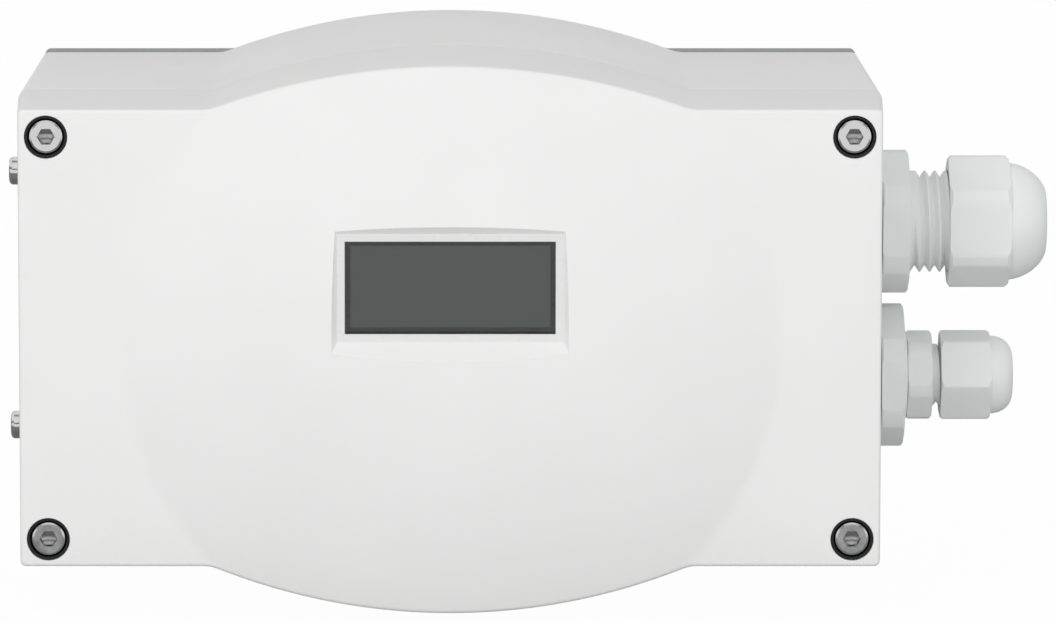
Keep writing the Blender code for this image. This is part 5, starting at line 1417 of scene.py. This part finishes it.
# Floor: size, front edge and gap in metres, greys that matt and shiny surfaces see, and the camera's
# share of plain white
FLOOR_SIZE, FLOOR_FRONT, FLOOR_GAP = 12.0, -0.25, 0.0004
FLOOR_MATT, FLOOR_SHINY = 0.6, 0.26
FLOOR_WHITE = 0.98


def plain_grey(value):
    return (value, value, value, 1.0)


class POSITIONER_OT_stage(bpy.types.Operator):
    """Set the camera, the lamps, the surroundings and the floor"""

    bl_idname = "positioner.stage"
    bl_label = "Stage"

    def execute(self, context):
        cfg = context.scene.positioner_stage
        self.camera(context, cfg)
        self.lamps(cfg)
        self.surroundings(context, cfg)
        self.floor()
        return {"FINISHED"}

    def camera(self, context, cfg):
        bpy.ops.object.camera_add()
        camera = named("camera")
        y_face, _ = cover_planes(context.scene.positioner_casing)
        camera.location = (0.0, y_face * MM - cfg.distance, cfg.height)
        camera.rotation_euler = (math.pi / 2 - cfg.pitch, 0.0, 0.0)
        camera.data.sensor_width = 36.0
        camera.data.lens = FOCAL_LENGTH * camera.data.sensor_width / FRAME_WIDTH
        camera.data.shift_x = (FRAME_WIDTH / 2 - PRINCIPAL_X) / FRAME_WIDTH
        camera.data.clip_end = 20.0
        context.scene.camera = camera

    def lamps(self, cfg):
        for name, place, size, share in LAMPS:
            bpy.ops.object.light_add(type="AREA", location=place)
            lamp = named(name)
            lamp.data.shape = "DISK"
            lamp.data.size = size
            lamp.data.energy = cfg.key * share
            lamp.visible_glossy = False
            lamp.rotation_euler = (AIM - Vector(place)).to_track_quat("-Z", "Y").to_euler()

    def surroundings(self, context, cfg):
        """White to the camera, even to matt surfaces, and banded to shiny ones."""
        world = bpy.data.worlds.new("surroundings")
        context.scene.world = world
        made = Nodes(world, "Background", "Generated")
        path = made.add("ShaderNodeLightPath").outputs
        split = made.add("ShaderNodeSeparateXYZ")
        bands = made.add("ShaderNodeMapRange", {"From Min": -1.0})
        ramp = made.add("ShaderNodeValToRGB")
        while len(ramp.color_ramp.elements) < len(BANDS):
            ramp.color_ramp.elements.new(1.0)
        for element, (position, level_seen) in zip(ramp.color_ramp.elements, BANDS):
            element.position = position
            element.color = plain_grey(level_seen)
        made.link(made.place, split.inputs["Vector"])
        made.link(split.outputs["Z"], bands.inputs["Value"])
        made.link(bands.outputs["Result"], ramp.inputs["Fac"])
        shiny = made.choice(path["Is Glossy Ray"], plain_grey(cfg.world), ramp.outputs["Color"])
        seen = made.choice(path["Is Camera Ray"], shiny, plain_grey(1.0))
        made.link(seen, made.shader.inputs["Color"])

    def floor(self):
        """Pale floor that is nearly white to the camera and keeps a soft shadow."""
        deselect()
        bpy.ops.mesh.primitive_plane_add(
            size=FLOOR_SIZE, location=(0.0, FLOOR_FRONT + FLOOR_SIZE / 2, SOLIDS_BOX[0].z - FLOOR_GAP))
        floor = settle(named("floor"))
        made = fresh("pale_floor")
        path = made.add("ShaderNodeLightPath").outputs
        made.link(made.spread(made.noise(3.0), 0.7, 0.8), made.shader.inputs["Roughness"])
        colour = made.choice(path["Is Glossy Ray"], plain_grey(FLOOR_MATT), plain_grey(FLOOR_SHINY))
        made.link(colour, made.shader.inputs["Base Color"])
        glow = made.add("ShaderNodeEmission", {"Strength": 1.0})
        share = made.add("ShaderNodeMath", {1: FLOOR_WHITE}, operation="MULTIPLY")
        made.link(path["Is Camera Ray"], share.inputs[0])
        made.show(share.outputs["Value"], made.shader.outputs["BSDF"], glow.outputs["Emission"])
        floor.data.materials.append(made.block)


class POSITIONER_PT_panel(bpy.types.Panel):
    """Lists the pieces in the order in which they are made"""

    bl_idname = "POSITIONER_PT_panel"
    bl_label = "Valve Positioner"
    bl_space_type = "VIEW_3D"
    bl_region_type = "UI"
    bl_category = "Positioner"

    def draw(self, context):
        column = self.layout.column()
        for operator in OPERATORS:
            column.operator(operator.bl_idname)
        for group in SETTINGS:
            settings = getattr(context.scene, group)
            box = self.layout.box()
            for key in settings.bl_rna.properties.keys():
                if key not in {"rna_type", "name"}:
                    box.prop(settings, key)


SETTINGS = {
    "positioner_casing": CasingSettings,
    "positioner_display": DisplaySettings,
    "positioner_screws": ScrewSettings,
    "positioner_glands": GlandSettings,
    "positioner_stage": StageSettings,
}
OPERATORS = (
    POSITIONER_OT_cover,
    POSITIONER_OT_window,
    POSITIONER_OT_cover_screws,
    POSITIONER_OT_housing,
    POSITIONER_OT_rear,
    POSITIONER_OT_glands,
    POSITIONER_OT_ports,
    POSITIONER_OT_controls,
    POSITIONER_OT_remaining,
    POSITIONER_OT_stage,
)


def classes():
    return (*SETTINGS.values(), *OPERATORS, POSITIONER_PT_panel)


def register():
    for item in classes():
        bpy.utils.register_class(item)
    for name, group in SETTINGS.items():
        setattr(bpy.types.Scene, name, PointerProperty(type=group))


def unregister():
    for name in SETTINGS:
        delattr(bpy.types.Scene, name)
    for item in reversed(classes()):
        bpy.utils.unregister_class(item)


def main():
    register()
    bpy.context.scene.view_settings.view_transform = "Standard"
    for operator in OPERATORS:
        group, call = operator.bl_idname.split(".")
        getattr(getattr(bpy.ops, group), call)()


if __name__ == "__main__":
    main()
